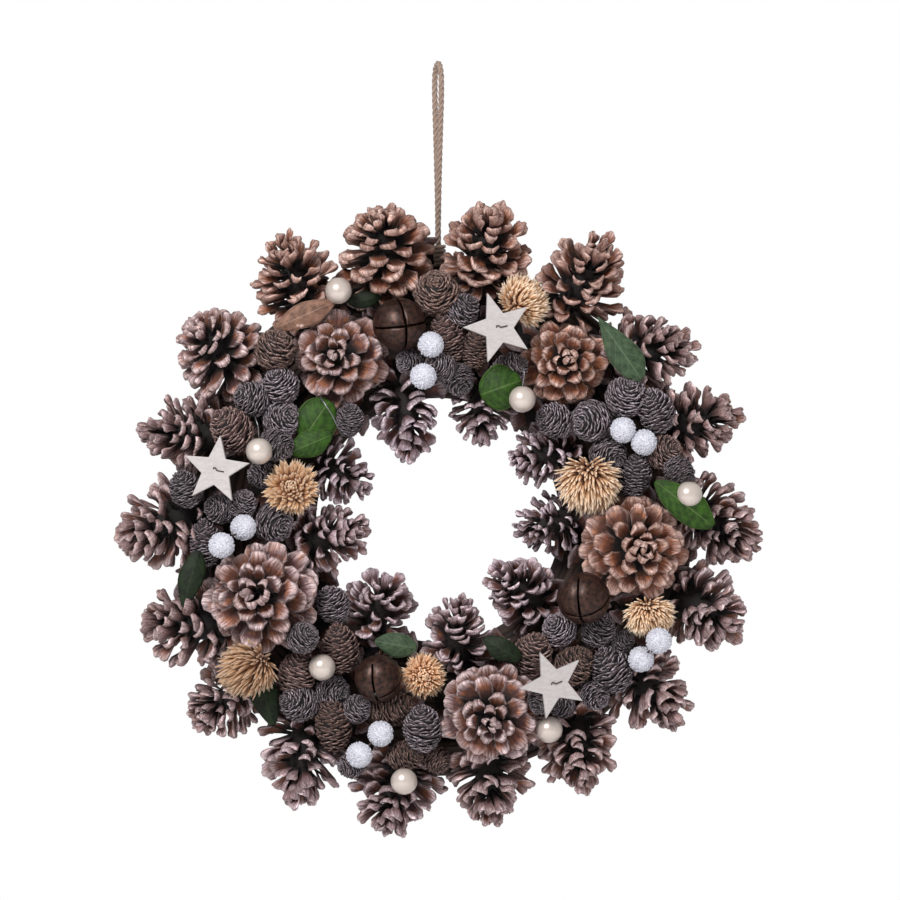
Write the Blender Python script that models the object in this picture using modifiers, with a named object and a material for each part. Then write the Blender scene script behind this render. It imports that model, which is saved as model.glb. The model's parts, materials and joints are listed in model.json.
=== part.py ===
# A hanging wreath of pine cones, alder cones, jingle bells, wooden stars, dried flower heads,
# frosted berries and pearls, built on a flat ring. Metres, +Z up. It faces -Y and hangs from the
# eye of its twine loop, which is the origin. Tables are in millimetres from the wreath's middle.

import math

import bmesh
import bpy
from mathutils import Matrix, Vector
from mathutils.bvhtree import BVHTree

for old in list(bpy.data.objects):
    bpy.data.objects.remove(old, do_unlink=True)

MM = 0.001
GAP = 0.35  # between pieces that rest on each other
SINK = 1.3  # how far pieces of one spray press into each other
GOLDEN_ANGLE = math.radians(137.508)

# The ring that carries everything. Its back is flat and lies on the wall.
RING_MIDDLE = 110.0
RING_HALF_WIDTH = 44.0
RING_DEPTH = 15.0
RING_SEGMENTS = 32

# The twine loop, by hand: x, y, z along one leg, round the eye and down the other leg.
TWINE_DIAMETER = 3.2
TWINE_EYE = 258.4
TWINE_ROUTE = (
    (0.0, -4.9, 154.8), (0.0, -5.8, 165.0), (-0.4, -6.0, 190.0), (-1.2, -4.6, 220.0),
    (-1.8, -3.4, 240.0), (-1.8, -3.3, 252.0), (-1.2, -5.4, 257.8), (0.0, -10.0, 260.0),
    (1.2, -14.6, 257.8), (1.8, -16.7, 252.0), (1.8, -16.6, 240.0), (1.2, -15.4, 220.0),
    (0.4, -13.0, 190.0), (0.0, -11.4, 165.0), (0.0, -9.3, 154.8),
)
TWINE_STEP = 8.6

# Pine cones of the outer row: degrees round the ring, distance, radius, lean, turn.
OUTER_CONES = (
    (100.5, 154.5, 27.0, 24, 0), (80.0, 157.5, 26.5, 22, 40), (59.8, 159.5, 26.0, 30, 80),
    (38.2, 158.0, 23.8, 40, 120), (19.7, 159.0, 23.2, 52, 20), (0.6, 158.5, 25.2, 36, 60),
    (-18.5, 158.5, 24.2, 34, 100), (-38.3, 154.0, 23.4, 36, 10), (-58.4, 148.7, 24.8, 36, 50),
    (-78.3, 150.5, 24.8, 32, 90), (-98.4, 158.0, 25.0, 34, 130), (-119.4, 158.8, 24.0, 34, 30),
    (-139.5, 157.5, 21.2, 40, 70), (-158.5, 152.5, 24.6, 46, 110), (180.0, 157.0, 25.2, 40, 5),
    (160.7, 155.5, 23.4, 40, 45), (141.9, 153.7, 25.0, 34, 85), (120.9, 158.6, 24.6, 30, 125),
)
# Pine cones round the hole: x, z, radius, lean toward the hole, turn.
INNER_CONES = (
    (-16.9, 57.6, 21.0, 34, 0), (23.7, 62.2, 18.4, 40, 50), (60.8, 35.8, 18.4, 40, 100),
    (58.8, -1.2, 18.2, 44, 20), (48.8, -41.0, 21.4, 30, 70), (9.6, -64.0, 21.2, 34, 120),
    (-31.4, -49.4, 21.0, 24, 35), (-60.3, -11.4, 21.2, 34, 85), (-53.6, 28.6, 18.2, 44, 10),
)
# Pine cones that face the front: x, z, radius, degrees of the lean's heading, lean, turn.
FRONT_CONES = (
    (-53.7, 91.0, 27.5, 150, 8, 0), (72.9, 88.7, 25.4, 60, 5, 40), (111.3, -14.7, 30.0, -20, 10, 80),
    (27.7, -107.9, 28.4, -100, 10, 20), (-100.0, -41.8, 30.6, 150, 10, 60),
)
CONE_LENGTH = 1.86  # of its radius
CONE_SCALES = 24
INNER_SCALES = 22
SCALE_TIP = 1.5

# Small alder cones by spray: x, z, radius, length, heading of the tip, how far the tip stands out.
ALDER_CONES = (
    ((-0.6, 128.3, 11.2, 24, 90, 60), (13.6, 118.6, 8.2, 19, 40, 30), (5.1, 103.4, 8.8, 26, 100, 10),
     (21.5, 97.2, 7.6, 21, 80, 15), (-15.8, 89.8, 6.6, 15, 170, 50), (11.3, 80.2, 7.6, 18, -60, 30),
     (1.1, 86.8, 7.4, 17, 150, 40), (40.5, 86.0, 7.4, 19, 20, 20)),
    ((-91.5, 96.6, 9.8, 21, 60, 35), (-88.7, 76.3, 9.2, 20, 110, 40), (-104.5, 68.9, 8.6, 19, 160, 30),
     (-88.1, 57.6, 9.2, 20, 20, 50), (-115.8, 51.4, 10.2, 25, 130, 25), (-90.4, 43.0, 8.0, 18, -30, 30),
     (-98.9, 26.6, 7.0, 16, 200, 30), (-141.8, 18.1, 8.0, 19, 110, 20), (-122.6, 6.8, 7.2, 17, 160, 30),
     (-131.1, -12.4, 7.9, 24, 95, 10), (-92.7, -1.1, 9.6, 21, -20, 50), (-109.9, 9.6, 6.8, 16, 60, 40),
     (-49.7, 57.0, 7.0, 17, 80, 30)),
    ((106.2, 70.1, 10.2, 22, 70, 50), (122.6, 62.1, 9.0, 24, 110, 25), (86.4, 56.5, 10.0, 21, 190, 50),
     (66.1, 56.5, 8.5, 21, 150, 30), (96.0, 37.3, 9.0, 20, -40, 50), (111.3, 26.0, 8.0, 23, 80, 20),
     (127.1, 39.0, 8.5, 19, 20, 40), (135.6, 27.1, 7.4, 18, -60, 20)),
    ((-59.3, -46.9, 8.2, 20, 110, 25), (-75.7, -65.0, 7.6, 17, 30, 40), (-54.8, -71.8, 9.0, 26, 100, 15),
     (-79.1, -85.3, 9.4, 24, 70, 20), (-78.0, -102.3, 9.0, 20, 160, 40), (-58.8, -95.5, 7.6, 18, -20, 40),
     (-58.8, -114.7, 9.0, 27, 95, 10), (-45.8, -105.7, 7.0, 16, 40, 40), (-48.6, -137.3, 6.4, 15, 200, 30),
     (-25.4, -105.7, 8.6, 23, 10, 15), (-8.5, -116.4, 9.4, 24, 90, 20), (-18.1, -131.6, 7.4, 19, 20, 20),
     (-1.1, -133.9, 6.8, 16, -40, 30)),
    ((68.4, -61.0, 8.5, 18, 130, 50), (90.4, -61.0, 8.6, 19, 60, 40), (53.1, -75.1, 9.6, 23, 70, 25),
     (76.3, -81.4, 9.2, 23, 40, 25), (97.7, -83.6, 9.6, 25, 120, 20), (88.1, -97.7, 7.4, 17, -50, 40),
     (70.1, -104.0, 6.4, 14, 160, 50), (103.4, -67.6, 5.8, 14, 30, 30), (58.2, -99.4, 6.8, 16, -120, 30)),
)
ALDER_SCALES = 9
# Joined pairs of frosted berries: the spray they are wired to, then both x, z.
FROSTED_PAIRS = (
    (0, (-4.0, 99.2), (-8.2, 81.4)), (2, (104.0, 51.3), (115.7, 44.4)),
    (4, (123.7, -66.7), (114.1, -77.4)), (3, (-32.2, -119.2), (-44.2, -131.1)),
    (1, (-109.2, -3.4), (-121.0, -13.3)),
)
BERRY_RADIUS = 7.4
# Pearls: the spray they are wired to, x, z. Two more stand on the stems of leaves.
PEARLS = ((0, 47.3, 68.6), (1, -100.2, 39.4), (3, -19.0, -145.8), (3, -65.0, -81.8), (4, 62.4, -116.6))
PEARL_RADIUS = 7.5
WIRE_RADIUS = 0.7
# How far a wire's middle may bow back and aside, in the order they are tried.
WIRE_BOWS = (
    (0, 0), (6, 0), (12, 0), (-6, 0), (6, 6), (6, -6), (12, 8), (12, -8), (20, 0), (20, 12),
    (20, -12), (28, 0), (-12, 0), (0, 8), (0, -8), (0, 14), (0, -14),
)

# Bells: x, z, radius, heading and lean of the mouth, turn of the slits.
BELLS = (
    (-21.5, 110.7, 15.0, -20, 16, 15), (81.4, -42.9, 15.0, -100, 30, 40),
    (-33.3, -88.1, 13.6, 20, 40, 60),
)
BELL_WALL = 1.0
BELL_SLIT = 2.4
PELLET_RADIUS = 3.4

# Flower heads: x, z, radius, length, heading of the bristles, how far they lean from the front.
FLOWER_HEADS = (
    (48.6, 124.3, 17.0, 19, 40, 50), (84.2, 19.2, 18.5, 20, -90, 45), (119.2, -54.2, 16.0, 18, -80, 60),
    (-7.9, -87.0, 14.0, 14, 0, 8), (-107.3, -82.5, 17.5, 20, -140, 55), (-82.5, 19.2, 17.6, 15, 90, 5),
)
HEAD_RIBS = 8
HEAD_ROWS = 6

# Stars: x, z, tip radius, turn, heading and degrees of the tilt.
STARS = ((33.9, 108.5, 20.5, 18, 20, 12), (-124.3, 28.8, 19.8, -7, 160, 12), (64.4, -90.4, 19.8, 24, -20, 16))
STAR_THICKNESS = 3.0
STAR_INNER = 0.50

# Leaves with a node of their own: name colour, x, z, length, width, heading of the tip, arch.
LEAVES = (
    ("bright", -69.5, 52.5, 33, 21, 75, 5.0), ("bright", 36.2, 75.1, 27, 22, 20, 4.0),
    ("grey", 101.1, 97.2, 42, 13, -53, 3.0), ("bright", 137.9, 10.0, 41, 15, -38, 3.5),
    ("dark", -41.2, 124.9, 19, 10, 10, 2.0), ("dark", -138.6, -32.2, 33, 12, -105, 3.0),
)
# The pearls on leaf stems: leaf number, x, z.
LEAF_PEARLS = ((3, 140.7, 15.1), (4, -55.8, 129.6))
# Leaves wired into a spray: the spray, x, z, length, width, heading, arch.
SPRAY_LEAVES = (
    (3, -96.6, -100.6, 30, 14, -75, 3.0), (3, -23.7, -69.5, 24, 13, 170, 2.0),
    (4, 35.0, -72.9, 29, 19, 165, 3.0),
)
LEAF_THICKNESS = 0.9

collection = bpy.data.collections.new("pine_cone_wreath")
bpy.context.scene.collection.children.link(collection)
cutters = bpy.data.collections.new("cutters")
bpy.context.scene.collection.children.link(cutters)

# The middle of the wreath, with the wall plane at its own y = 0.
middle = bpy.data.objects.new("wreath_middle", None)
middle.location = Vector((0, 10.0, -TWINE_EYE)) * MM
collection.objects.link(middle)


def make_material(name, color, roughness, metallic=0.0):
    material = bpy.data.materials.new(name)
    material.use_nodes = True
    shader = material.node_tree.nodes["Principled BSDF"]
    shader.inputs["Base Color"].default_value = (*color, 1.0)
    shader.inputs["Roughness"].default_value = roughness
    shader.inputs["Metallic"].default_value = metallic
    material.diffuse_color = (*color, 1.0)
    return material


CONE_BROWN = make_material("open pine cone", (0.19, 0.09, 0.058), 0.75)
CONE_RED = make_material("reddish pine cone", (0.25, 0.10, 0.05), 0.75)
ALDER_BROWN = make_material("alder cone", (0.06, 0.045, 0.05), 0.7)
WILLOW = make_material("willow ring", (0.17, 0.11, 0.07), 0.8)
JUTE = make_material("jute twine", (0.36, 0.26, 0.2), 0.9)
RUSTY_STEEL = make_material("rusty steel", (0.09, 0.045, 0.03), 0.5, 0.6)
STEEL = make_material("steel pellet", (0.3, 0.3, 0.3), 0.4, 1.0)
PALE_WOOD = make_material("whitewashed wood", (0.78, 0.72, 0.67), 0.8)
STRAW = make_material("straw bristles", (0.6, 0.38, 0.15), 0.8)
LEAF_COLORS = {
    "bright": make_material("bright green leaf", (0.16, 0.3, 0.04), 0.6),
    "grey": make_material("grey green leaf", (0.2, 0.24, 0.14), 0.7),
    "dark": make_material("dark dried leaf", (0.06, 0.06, 0.05), 0.7),
}


def turned(heading, lean, turn=0.0):
    # Local +Z points to the front, leaned by `lean` degrees toward `heading` in the wreath's plane.
    heading, lean = math.radians(heading), math.radians(lean)
    toward = Vector((math.sin(lean) * math.cos(heading), -math.cos(lean), math.sin(lean) * math.sin(heading)))
    return toward.to_track_quat("Z", "Y").to_matrix() @ Matrix.Rotation(math.radians(turn), 3, "Z")


def facing(spin, heading=0.0, lean=0.0):
    # Local +Z to the front and local +X at `spin` degrees in the wreath's plane, leaned as above.
    a, h, t = math.radians(spin), math.radians(heading), math.radians(lean)
    flat = Matrix(((math.cos(a), -math.sin(a), 0), (0, 0, -1), (math.sin(a), math.cos(a), 0)))
    toward = Vector((math.sin(t) * math.cos(h), -math.cos(t), math.sin(t) * math.sin(h)))
    return Vector((0, -1, 0)).rotation_difference(toward).to_matrix() @ flat


def mesh_from(bm, name, smooth=False):
    bmesh.ops.recalc_face_normals(bm, faces=bm.faces)
    bmesh.ops.triangulate(bm, faces=bm.faces)
    mesh = bpy.data.meshes.new(name)
    bm.to_mesh(mesh)
    bm.free()
    if smooth:
        mesh.shade_smooth()
    return mesh


def nearest_turn(angle):
    # The same direction as `angle`, between half a turn back and half a turn forward.
    return (angle + math.pi) % (2 * math.pi) - math.pi


def polar(reach, angle, height):
    return Vector((reach * math.cos(angle), reach * math.sin(angle), height))


def scaly_mesh(name, count, right, left, valley, corners):
    # A body whose surface is cut into cells by two sets of spirals, each cell raised into a scale.
    # valley(share, angle) is a low point on the spiral, corners(i, share, angle) scale i's outer points.
    bm = bmesh.new()
    total = count + right + left
    aside = 0.5 * (nearest_turn(right * GOLDEN_ANGLE) + nearest_turn(left * GOLDEN_ANGLE))
    low = [bm.verts.new(valley(k / total, k * GOLDEN_ANGLE)) for k in range(total)]
    for k in range(count):
        cell = [low[k], low[k + right], low[k + right + left], low[k + left]]
        share = (k + 0.5 * (right + left)) / total
        outer = [bm.verts.new(p) for p in corners(k, share, k * GOLDEN_ANGLE + aside)]
        following = cell[1:] + cell[:1]
        if len(outer) == 1:
            for a, b in zip(cell, following):
                bm.faces.new((a, b, outer[0]))
        else:
            for a, b, c, d in zip(cell, following, outer[1:] + outer[:1], outer):
                bm.faces.new((a, b, c, d))
            bm.faces.new(outer)
    bm.verts.index_update()
    edges = [e for e in bm.edges if e.is_boundary]
    for bottom in (True, False):
        rim = [e for e in edges if (e.verts[0].index < right + left) == bottom]
        around = dict.fromkeys(v for e in rim for v in e.verts)  # each once, in a fixed order
        pole = bm.verts.new(sum((v.co for v in around), Vector()) / len(around))
        for e in rim:
            bm.faces.new((e.verts[0], e.verts[1], pole))
    return mesh_from(bm, name)


def pine_cone_mesh(name, radius, length, scales=CONE_SCALES):
    # Local +Z runs from the stem to the tip.
    def valley(share, angle):
        return polar(radius * (0.30 - 0.20 * share), angle, length * (0.04 + 0.78 * share))

    def corners(i, share, angle):
        s = i / (scales - 1)
        out = radius * math.sqrt(1 - ((s - 0.24) / 0.79) ** 2)
        tip = polar(out, angle, length * (-0.08 + 1.06 * s))
        side = Vector((-math.sin(angle), math.cos(angle), 0))
        along = (tip - valley(share, angle)).normalized()
        across = side * min(0.29 * radius, 0.34 * out)
        thick = side.cross(along) * -0.5 * SCALE_TIP * MM
        inner = [tip - thick - across * 0.8, tip - thick + across * 0.8]
        return inner + [tip + thick + across, tip + thick - across]

    return scaly_mesh(name, scales, 3, 5, valley, corners)


def alder_mesh(name, radius, length):
    def valley(share, angle):
        reach = 0.86 * math.sin(math.pi * (0.12 + 0.78 * share)) ** 0.7
        return polar(radius * reach, angle, length * (0.94 * share - 0.45))

    def corners(i, share, angle):
        reach = 1.16 * math.sin(math.pi * (0.10 + 0.80 * share)) ** 0.6
        return [polar(radius * reach, angle, length * (1.16 * share - 0.56))]

    return scaly_mesh(name, ALDER_SCALES, 3, 2, valley, corners)


def ball_cells(bm, segments, rings, place):
    # The corners of each cell of a ball, from its top down. place(bend, angle) puts a corner.
    def corner(row, segment):
        return bm.verts.new(place(math.pi * row / rings, 2 * math.pi * (0.25 + segment / segments)))

    rows = [[corner(0, 0)] * segments]
    rows += [[corner(row, k) for k in range(segments)] for row in range(1, rings)]
    rows.append([corner(rings, 0)] * segments)
    cells = []
    for above, below in zip(rows, rows[1:]):
        for k in range(segments):
            after = (k + 1) % segments
            cells.append(list(dict.fromkeys((above[k], above[after], below[after], below[k]))))
    return cells


def sphere_mesh(name, radius, segments, rings):
    bm = bmesh.new()
    for cell in ball_cells(bm, segments, rings, lambda bend, angle: polar(
            radius * math.sin(bend), angle, radius * math.cos(bend))):
        bm.faces.new(cell)
    return mesh_from(bm, name, True)


def head_mesh(name, radius, length):
    # A small core with a bristle on each of its cells. They fan out, swept toward local +Z.
    bm = bmesh.new()
    cells = ball_cells(bm, HEAD_RIBS, HEAD_ROWS, lambda bend, angle: polar(
        0.40 * radius * math.sin(bend), angle, length * (0.30 + 0.24 * math.cos(bend))))
    for i, cell in enumerate(cells):
        row, rib = divmod(i, HEAD_RIBS)
        bend = 0.66 * math.pi * (row + 0.5) / HEAD_ROWS
        angle = 2 * math.pi * (0.25 + (rib + 0.5) / HEAD_RIBS)
        reach = 1.0 - 0.06 * (i % 3)
        tip = bm.verts.new(polar(radius * reach * math.sin(bend), angle,
                                 length * (0.30 + 0.70 * reach * math.cos(bend))))
        for first, second in zip(cell, cell[1:] + cell[:1]):
            bm.faces.new((first, second, tip))
    return mesh_from(bm, name)


def leaf_mesh(name, length, width, arch):
    # An arched, folded blade that faces local +Z, with its tip at local +X and a waved edge.
    bm = bmesh.new()
    rows = []
    steps = 5
    for i in range(steps + 1):
        t = i / steps
        half = 0.5 * width * max(math.sin(math.pi * (0.06 + 0.88 * t) ** 0.85), 0.12)
        wave = 1.0 + (0.07 if i % 2 else -0.05)
        rise = arch * (math.sin(math.pi * t) - 1.0)
        x = length * (t - 0.5)
        rows.append([bm.verts.new((x, half * wave * v, rise - 0.16 * width * abs(v)))
                     for v in (-1, 0, 1)])
    for a, b in zip(rows, rows[1:]):
        for i in range(2):
            bm.faces.new((a[i], b[i], b[i + 1], a[i + 1]))
    mesh = mesh_from(bm, name)
    leaf = bpy.data.objects.new(name, mesh)
    cutters.objects.link(leaf)
    thickness = leaf.modifiers.new("thickness", "SOLIDIFY")
    thickness.thickness = LEAF_THICKNESS * MM
    thickness.offset = 0
    return settled_mesh(leaf)


def settled_mesh(obj):
    # The object's mesh as its modifiers leave it, in place of the object. A curve's caps are welded.
    curve = obj.type == "CURVE"
    bpy.context.view_layer.update()
    graph = bpy.context.evaluated_depsgraph_get()
    mesh = bpy.data.meshes.new_from_object(obj.evaluated_get(graph))
    mesh.transform(obj.matrix_world)
    bpy.data.objects.remove(obj)
    bm = bmesh.new()
    bm.from_mesh(mesh)
    if curve:
        bmesh.ops.remove_doubles(bm, verts=bm.verts, dist=0.00001)
    bmesh.ops.triangulate(bm, faces=bm.faces)
    bm.to_mesh(mesh)
    bm.free()
    return mesh


def cut(mesh, tools):
    # The mesh with each tool's mesh cut out of it.
    obj = bpy.data.objects.new(mesh.name, mesh)
    cutters.objects.link(obj)
    made = []
    for tool in tools:
        cutter = bpy.data.objects.new("cutter", tool)
        cutters.objects.link(cutter)
        made.append(cutter)
        step = obj.modifiers.new("cut", "BOOLEAN")
        step.operation = "DIFFERENCE"
        step.object = cutter
    result = settled_mesh(obj)
    for cutter in made:
        bpy.data.objects.remove(cutter)
    return result


def bell_mesh(name, radius):
    # A hollow ball whose mouth, at local +Z, is two crossed slits. Its eye is at the back.
    slits = []
    for turn in (0, 90):
        bm = bmesh.new()
        bmesh.ops.create_cube(bm, size=1.0)
        bmesh.ops.scale(bm, vec=(BELL_SLIT * MM, 2 * radius * MM, radius * MM), verts=bm.verts)
        bmesh.ops.translate(bm, vec=(0, 0, 0.86 * radius * MM), verts=bm.verts)
        bmesh.ops.rotate(bm, matrix=Matrix.Rotation(math.radians(turn), 3, "Z"), verts=bm.verts)
        slits.append(mesh_from(bm, "slit"))
    hollow = sphere_mesh("hollow", (radius - BELL_WALL) * MM, 10, 6)
    shell = cut(sphere_mesh(name, radius * MM, 14, 8), [hollow, *slits])
    eye = [Vector(p) * MM - Vector((0, 0, radius * MM))
           for p in ((0, -2.2, 0.6), (0, -2.2, -2.6), (0, 2.2, -2.6), (0, 2.2, 0.6))]
    mesh = join(name, [shell, wire_mesh("eye", eye, 0.8)])
    mesh.name = name
    return mesh


def star_mesh(name, radius):
    # A flat five-pointed star facing local +Z, with a wire staple through its middle.
    curve = bpy.data.curves.new(name, "CURVE")
    curve.dimensions = "2D"
    curve.fill_mode = "BOTH"
    curve.extrude = 0.5 * STAR_THICKNESS * MM
    outline = curve.splines.new("POLY")
    outline.points.add(9)
    outline.use_cyclic_u = True
    for k, point in enumerate(outline.points):
        reach = radius * (STAR_INNER if k % 2 else 1.0) * MM
        angle = math.radians(90 + 36 * k)
        point.co = (reach * math.cos(angle), reach * math.sin(angle), 0, 1)
    star = bpy.data.objects.new(name, curve)
    cutters.objects.link(star)
    up = 0.5 * STAR_THICKNESS
    staple = [Vector(p) * MM for p in ((-1.6, 0.2, -0.4), (-1.6, 0.2, up + 0.9),
                                       (4.6, -0.4, up + 0.9), (4.6, -0.4, -0.4))]
    mesh = join(name, [settled_mesh(star), wire_mesh("staple", staple, 0.55)])
    mesh.name = name
    return mesh


placed = []  # (node, BVH tree, lowest corner, highest corner) of every piece in the wreath's frame


def points_of(mesh, place, swell=0.0):
    turn = place.to_3x3()
    return [place @ v.co + turn @ v.normal * swell * MM for v in mesh.vertices]


def corners_of(points):
    return (Vector(min(p[i] for p in points) for i in range(3)),
            Vector(max(p[i] for p in points) for i in range(3)))


def touches(points, faces, node, mates):
    # Whether the faces cross a piece of another node (mates False) or of the same node (True).
    low, high = corners_of(points)
    tree = None
    for name, other, least, most in placed:
        if (name == node) != mates:
            continue
        if any(low[i] > most[i] or high[i] < least[i] for i in range(3)):
            continue
        if tree is None:
            tree = BVHTree.FromPolygons(points, faces)
        if tree.overlap(other):
            return True
    return False


def register(mesh, place, node):
    points = points_of(mesh, place)
    faces = [p.vertices[:] for p in mesh.polygons]
    placed.append((node, BVHTree.FromPolygons(points, faces), *corners_of(points)))


def rest_depth(mesh, place, node, deepest):
    # How far back the piece can slide from the front before it touches, in metres.
    faces = [p.vertices[:] for p in mesh.polygons]
    clear = points_of(mesh, place, GAP)
    plain = points_of(mesh, place)
    pressed = points_of(mesh, place, -SINK)

    def blocked(depth):
        shift = Vector((0, depth, 0))
        return (touches([p + shift for p in clear], faces, node, False)
                or touches([p + shift for p in plain], faces, node, False)
                or touches([p + shift for p in pressed], faces, node, True))

    depth = -0.120
    while depth < deepest and not blocked(depth + 0.001):
        depth += 0.001
    if depth >= deepest:
        return deepest, False
    step = 0.001
    while step > 0.00015:
        step *= 0.5
        if not blocked(depth + step):
            depth += step
    return depth, True


def centred(mesh, turn, x, z):
    # Puts the middle of the turned mesh's outline at x, z and its deepest point at y = 0.
    low, high = corners_of([turn @ v.co for v in mesh.vertices])
    shift = (x * MM - (low.x + high.x) / 2, -high.y, z * MM - (low.z + high.z) / 2)
    return Matrix.Translation(shift) @ turn.to_4x4()


def drop(mesh, turns, x, z, node, deepest, wanted=None, aside=0.0):
    # Tries each turn, a little to each side too, and keeps the one held nearest the wanted depth.
    best = None
    for turn in turns:
        for dx, dz in ((0, 0), (aside, 0), (-aside, 0), (0, aside), (0, -aside))[:5 if aside else 1]:
            place = centred(mesh, turn, x + dx, z + dz)
            depth, held = rest_depth(mesh, place, node, deepest * MM)
            miss = abs(depth - (deepest if wanted is None else wanted) * MM) + (0 if held else 1.0)
            if best is None or miss < best[0]:
                best = (miss, Matrix.Translation((0, depth, 0)) @ place, held, depth)
    register(mesh, best[1], node)
    print(f"{node:20s} rests at {best[3] / MM:7.1f} mm {'' if best[2] else 'free'}")
    return best[1]


def add(name, data, material, place=None):
    obj = bpy.data.objects.new(name, data)
    data.materials.clear()
    data.materials.append(material)
    obj.parent = middle
    if place is not None:
        obj.location, obj.rotation_euler = place.to_translation(), place.to_euler()
    collection.objects.link(obj)
    return obj


def join(name, meshes, solver="EXACT"):
    # One Boolean union of loose meshes that press into each other.
    loose = bpy.data.collections.new(name + " pieces")
    bpy.context.scene.collection.children.link(loose)
    pieces = []
    for mesh in meshes:
        piece = bpy.data.objects.new(name + " piece", mesh)
        loose.objects.link(piece)
        pieces.append(piece)
    first = pieces[0]
    loose.objects.unlink(first)
    bpy.context.scene.collection.objects.link(first)
    union = first.modifiers.new("union", "BOOLEAN")
    union.operation = "UNION"
    union.operand_type = "COLLECTION"
    union.collection = loose
    union.solver = solver
    mesh = settled_mesh(first)
    for piece in pieces[1:]:
        bpy.data.objects.remove(piece)
    bpy.data.collections.remove(loose)
    return mesh


def moved(mesh, place):
    copy = mesh.copy()
    copy.transform(place)
    return copy


def wire_mesh(name, points, radius, sides=5):
    # A round wire through the points, closed at both ends.
    curve = bpy.data.curves.new(name, "CURVE")
    curve.dimensions = "3D"
    curve.bevel_depth = radius * MM
    curve.bevel_resolution = 0 if sides < 6 else 1
    curve.use_fill_caps = True
    spline = curve.splines.new("POLY")
    spline.points.add(len(points) - 1)
    for point, target in zip(spline.points, points):
        point.co = (*target, 1)
    wire = bpy.data.objects.new(name, curve)
    cutters.objects.link(wire)
    return settled_mesh(wire)


def wired(node, parts):
    # Thin wires between the pieces of a spray, shortest first, until they hang together. Each one
    # bows back or aside where it would cross another node.
    group = list(range(len(parts)))
    trees = [BVHTree.FromPolygons(points_of(m, Matrix.Identity(4), -0.3), [p.vertices[:] for p in m.polygons])
             for m, _ in parts]
    pairs = sorted(((parts[a][1] - parts[b][1]).length, a, b) for a in range(len(parts)) for b in range(a))
    wires = []
    for _, a, b in pairs:
        if group[a] != group[b] and trees[a].overlap(trees[b]):
            group = [group[a] if g == group[b] else g for g in group]
    for _, a, b in pairs:
        if group[a] == group[b]:
            continue
        start, end = parts[a][1], parts[b][1]
        side = (end - start).cross(Vector((0, 1, 0))).normalized()
        for bow, aside in WIRE_BOWS:
            bend = (Vector((0, bow, 0)) + side * aside) * MM
            points = [start, start.lerp(end, 0.33) + bend, start.lerp(end, 0.67) + bend, end]
            if not bow and not aside:
                points = [start, end]
            guard = wire_mesh("wire", points, WIRE_RADIUS + GAP)
            guard_faces = [p.vertices[:] for p in guard.polygons]
            if not touches([v.co for v in guard.vertices], guard_faces, node, False):
                wire = wire_mesh("wire", points, WIRE_RADIUS)
                register(wire, Matrix.Identity(4), node)
                wires.append(wire)
                group = [group[a] if g == group[b] else g for g in group]
                break
    print(node, "is in", len(set(group)), "pieces with", len(wires), "wires")
    return wires


def smooth_route(route, step):
    # Points every `step` along a smooth curve through the route's own points.
    dense = []
    ends = [2 * route[0] - route[1]] + list(route) + [2 * route[-1] - route[-2]]
    for a, b, c, d in zip(ends, ends[1:], ends[2:], ends[3:]):
        for i in range(24):
            t = i / 24
            dense.append(0.5 * (2 * b + (c - a) * t + (2 * a - 5 * b + 4 * c - d) * t ** 2
                                + (3 * b - a - 3 * c + d) * t ** 3))
    dense.append(route[-1])
    lengths = [0.0]
    for a, b in zip(dense, dense[1:]):
        lengths.append(lengths[-1] + (b - a).length)
    pieces = round(lengths[-1] / step)
    result, j = [], 0
    for i in range(pieces + 1):
        target = lengths[-1] * i / pieces
        while j < len(lengths) - 2 and lengths[j + 1] < target:
            j += 1
        share = (target - lengths[j]) / max(lengths[j + 1] - lengths[j], 1e-9)
        result.append(dense[j].lerp(dense[j + 1], min(max(share, 0), 1)))
    return result


# The flat willow ring.
bpy.ops.mesh.primitive_torus_add(
    major_segments=RING_SEGMENTS, minor_segments=10, major_radius=RING_MIDDLE * MM,
    minor_radius=RING_HALF_WIDTH * MM, rotation=(math.radians(90), 0, 0))
ring = bpy.context.object
bpy.ops.object.transform_apply(rotation=True)
ring.name = ring.data.name = "base_ring"
for vertex in ring.data.vertices:
    depth = vertex.co.y / (RING_HALF_WIDTH * MM)
    vertex.co.y = max(-1.0, min(0.0, (depth - 0.5) / 1.05)) * RING_DEPTH * MM
for group in ring.users_collection:
    group.objects.unlink(ring)
collection.objects.link(ring)
ring.parent = middle
ring.data.materials.append(WILLOW)
bm = bmesh.new()
bm.from_mesh(ring.data)
bmesh.ops.triangulate(bm, faces=bm.faces)
bm.to_mesh(ring.data)
bm.free()
ring.data.shade_smooth()
ring.data.set_sharp_from_angle(angle=math.radians(35))
register(ring.data, Matrix.Identity(4), "base_ring")

# The hanging loop, both legs tied off at the ring's rim.
route = smooth_route([Vector(p) * MM for p in TWINE_ROUTE], TWINE_STEP * MM)
twine = bpy.data.curves.new("hanging_loop", "CURVE")
twine.dimensions = "3D"
twine.bevel_depth = 0.5 * TWINE_DIAMETER * MM
twine.bevel_resolution = 2
twine.use_fill_caps = True
spline = twine.splines.new("POLY")
spline.points.add(len(route) - 1)
for point, target in zip(spline.points, route):
    point.co = (*target, 1)
add("hanging_loop", twine, JUTE)
register(wire_mesh("twine guard", route, 0.5 * TWINE_DIAMETER + 0.3, 6), Matrix.Identity(4), "hanging_loop")

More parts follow.
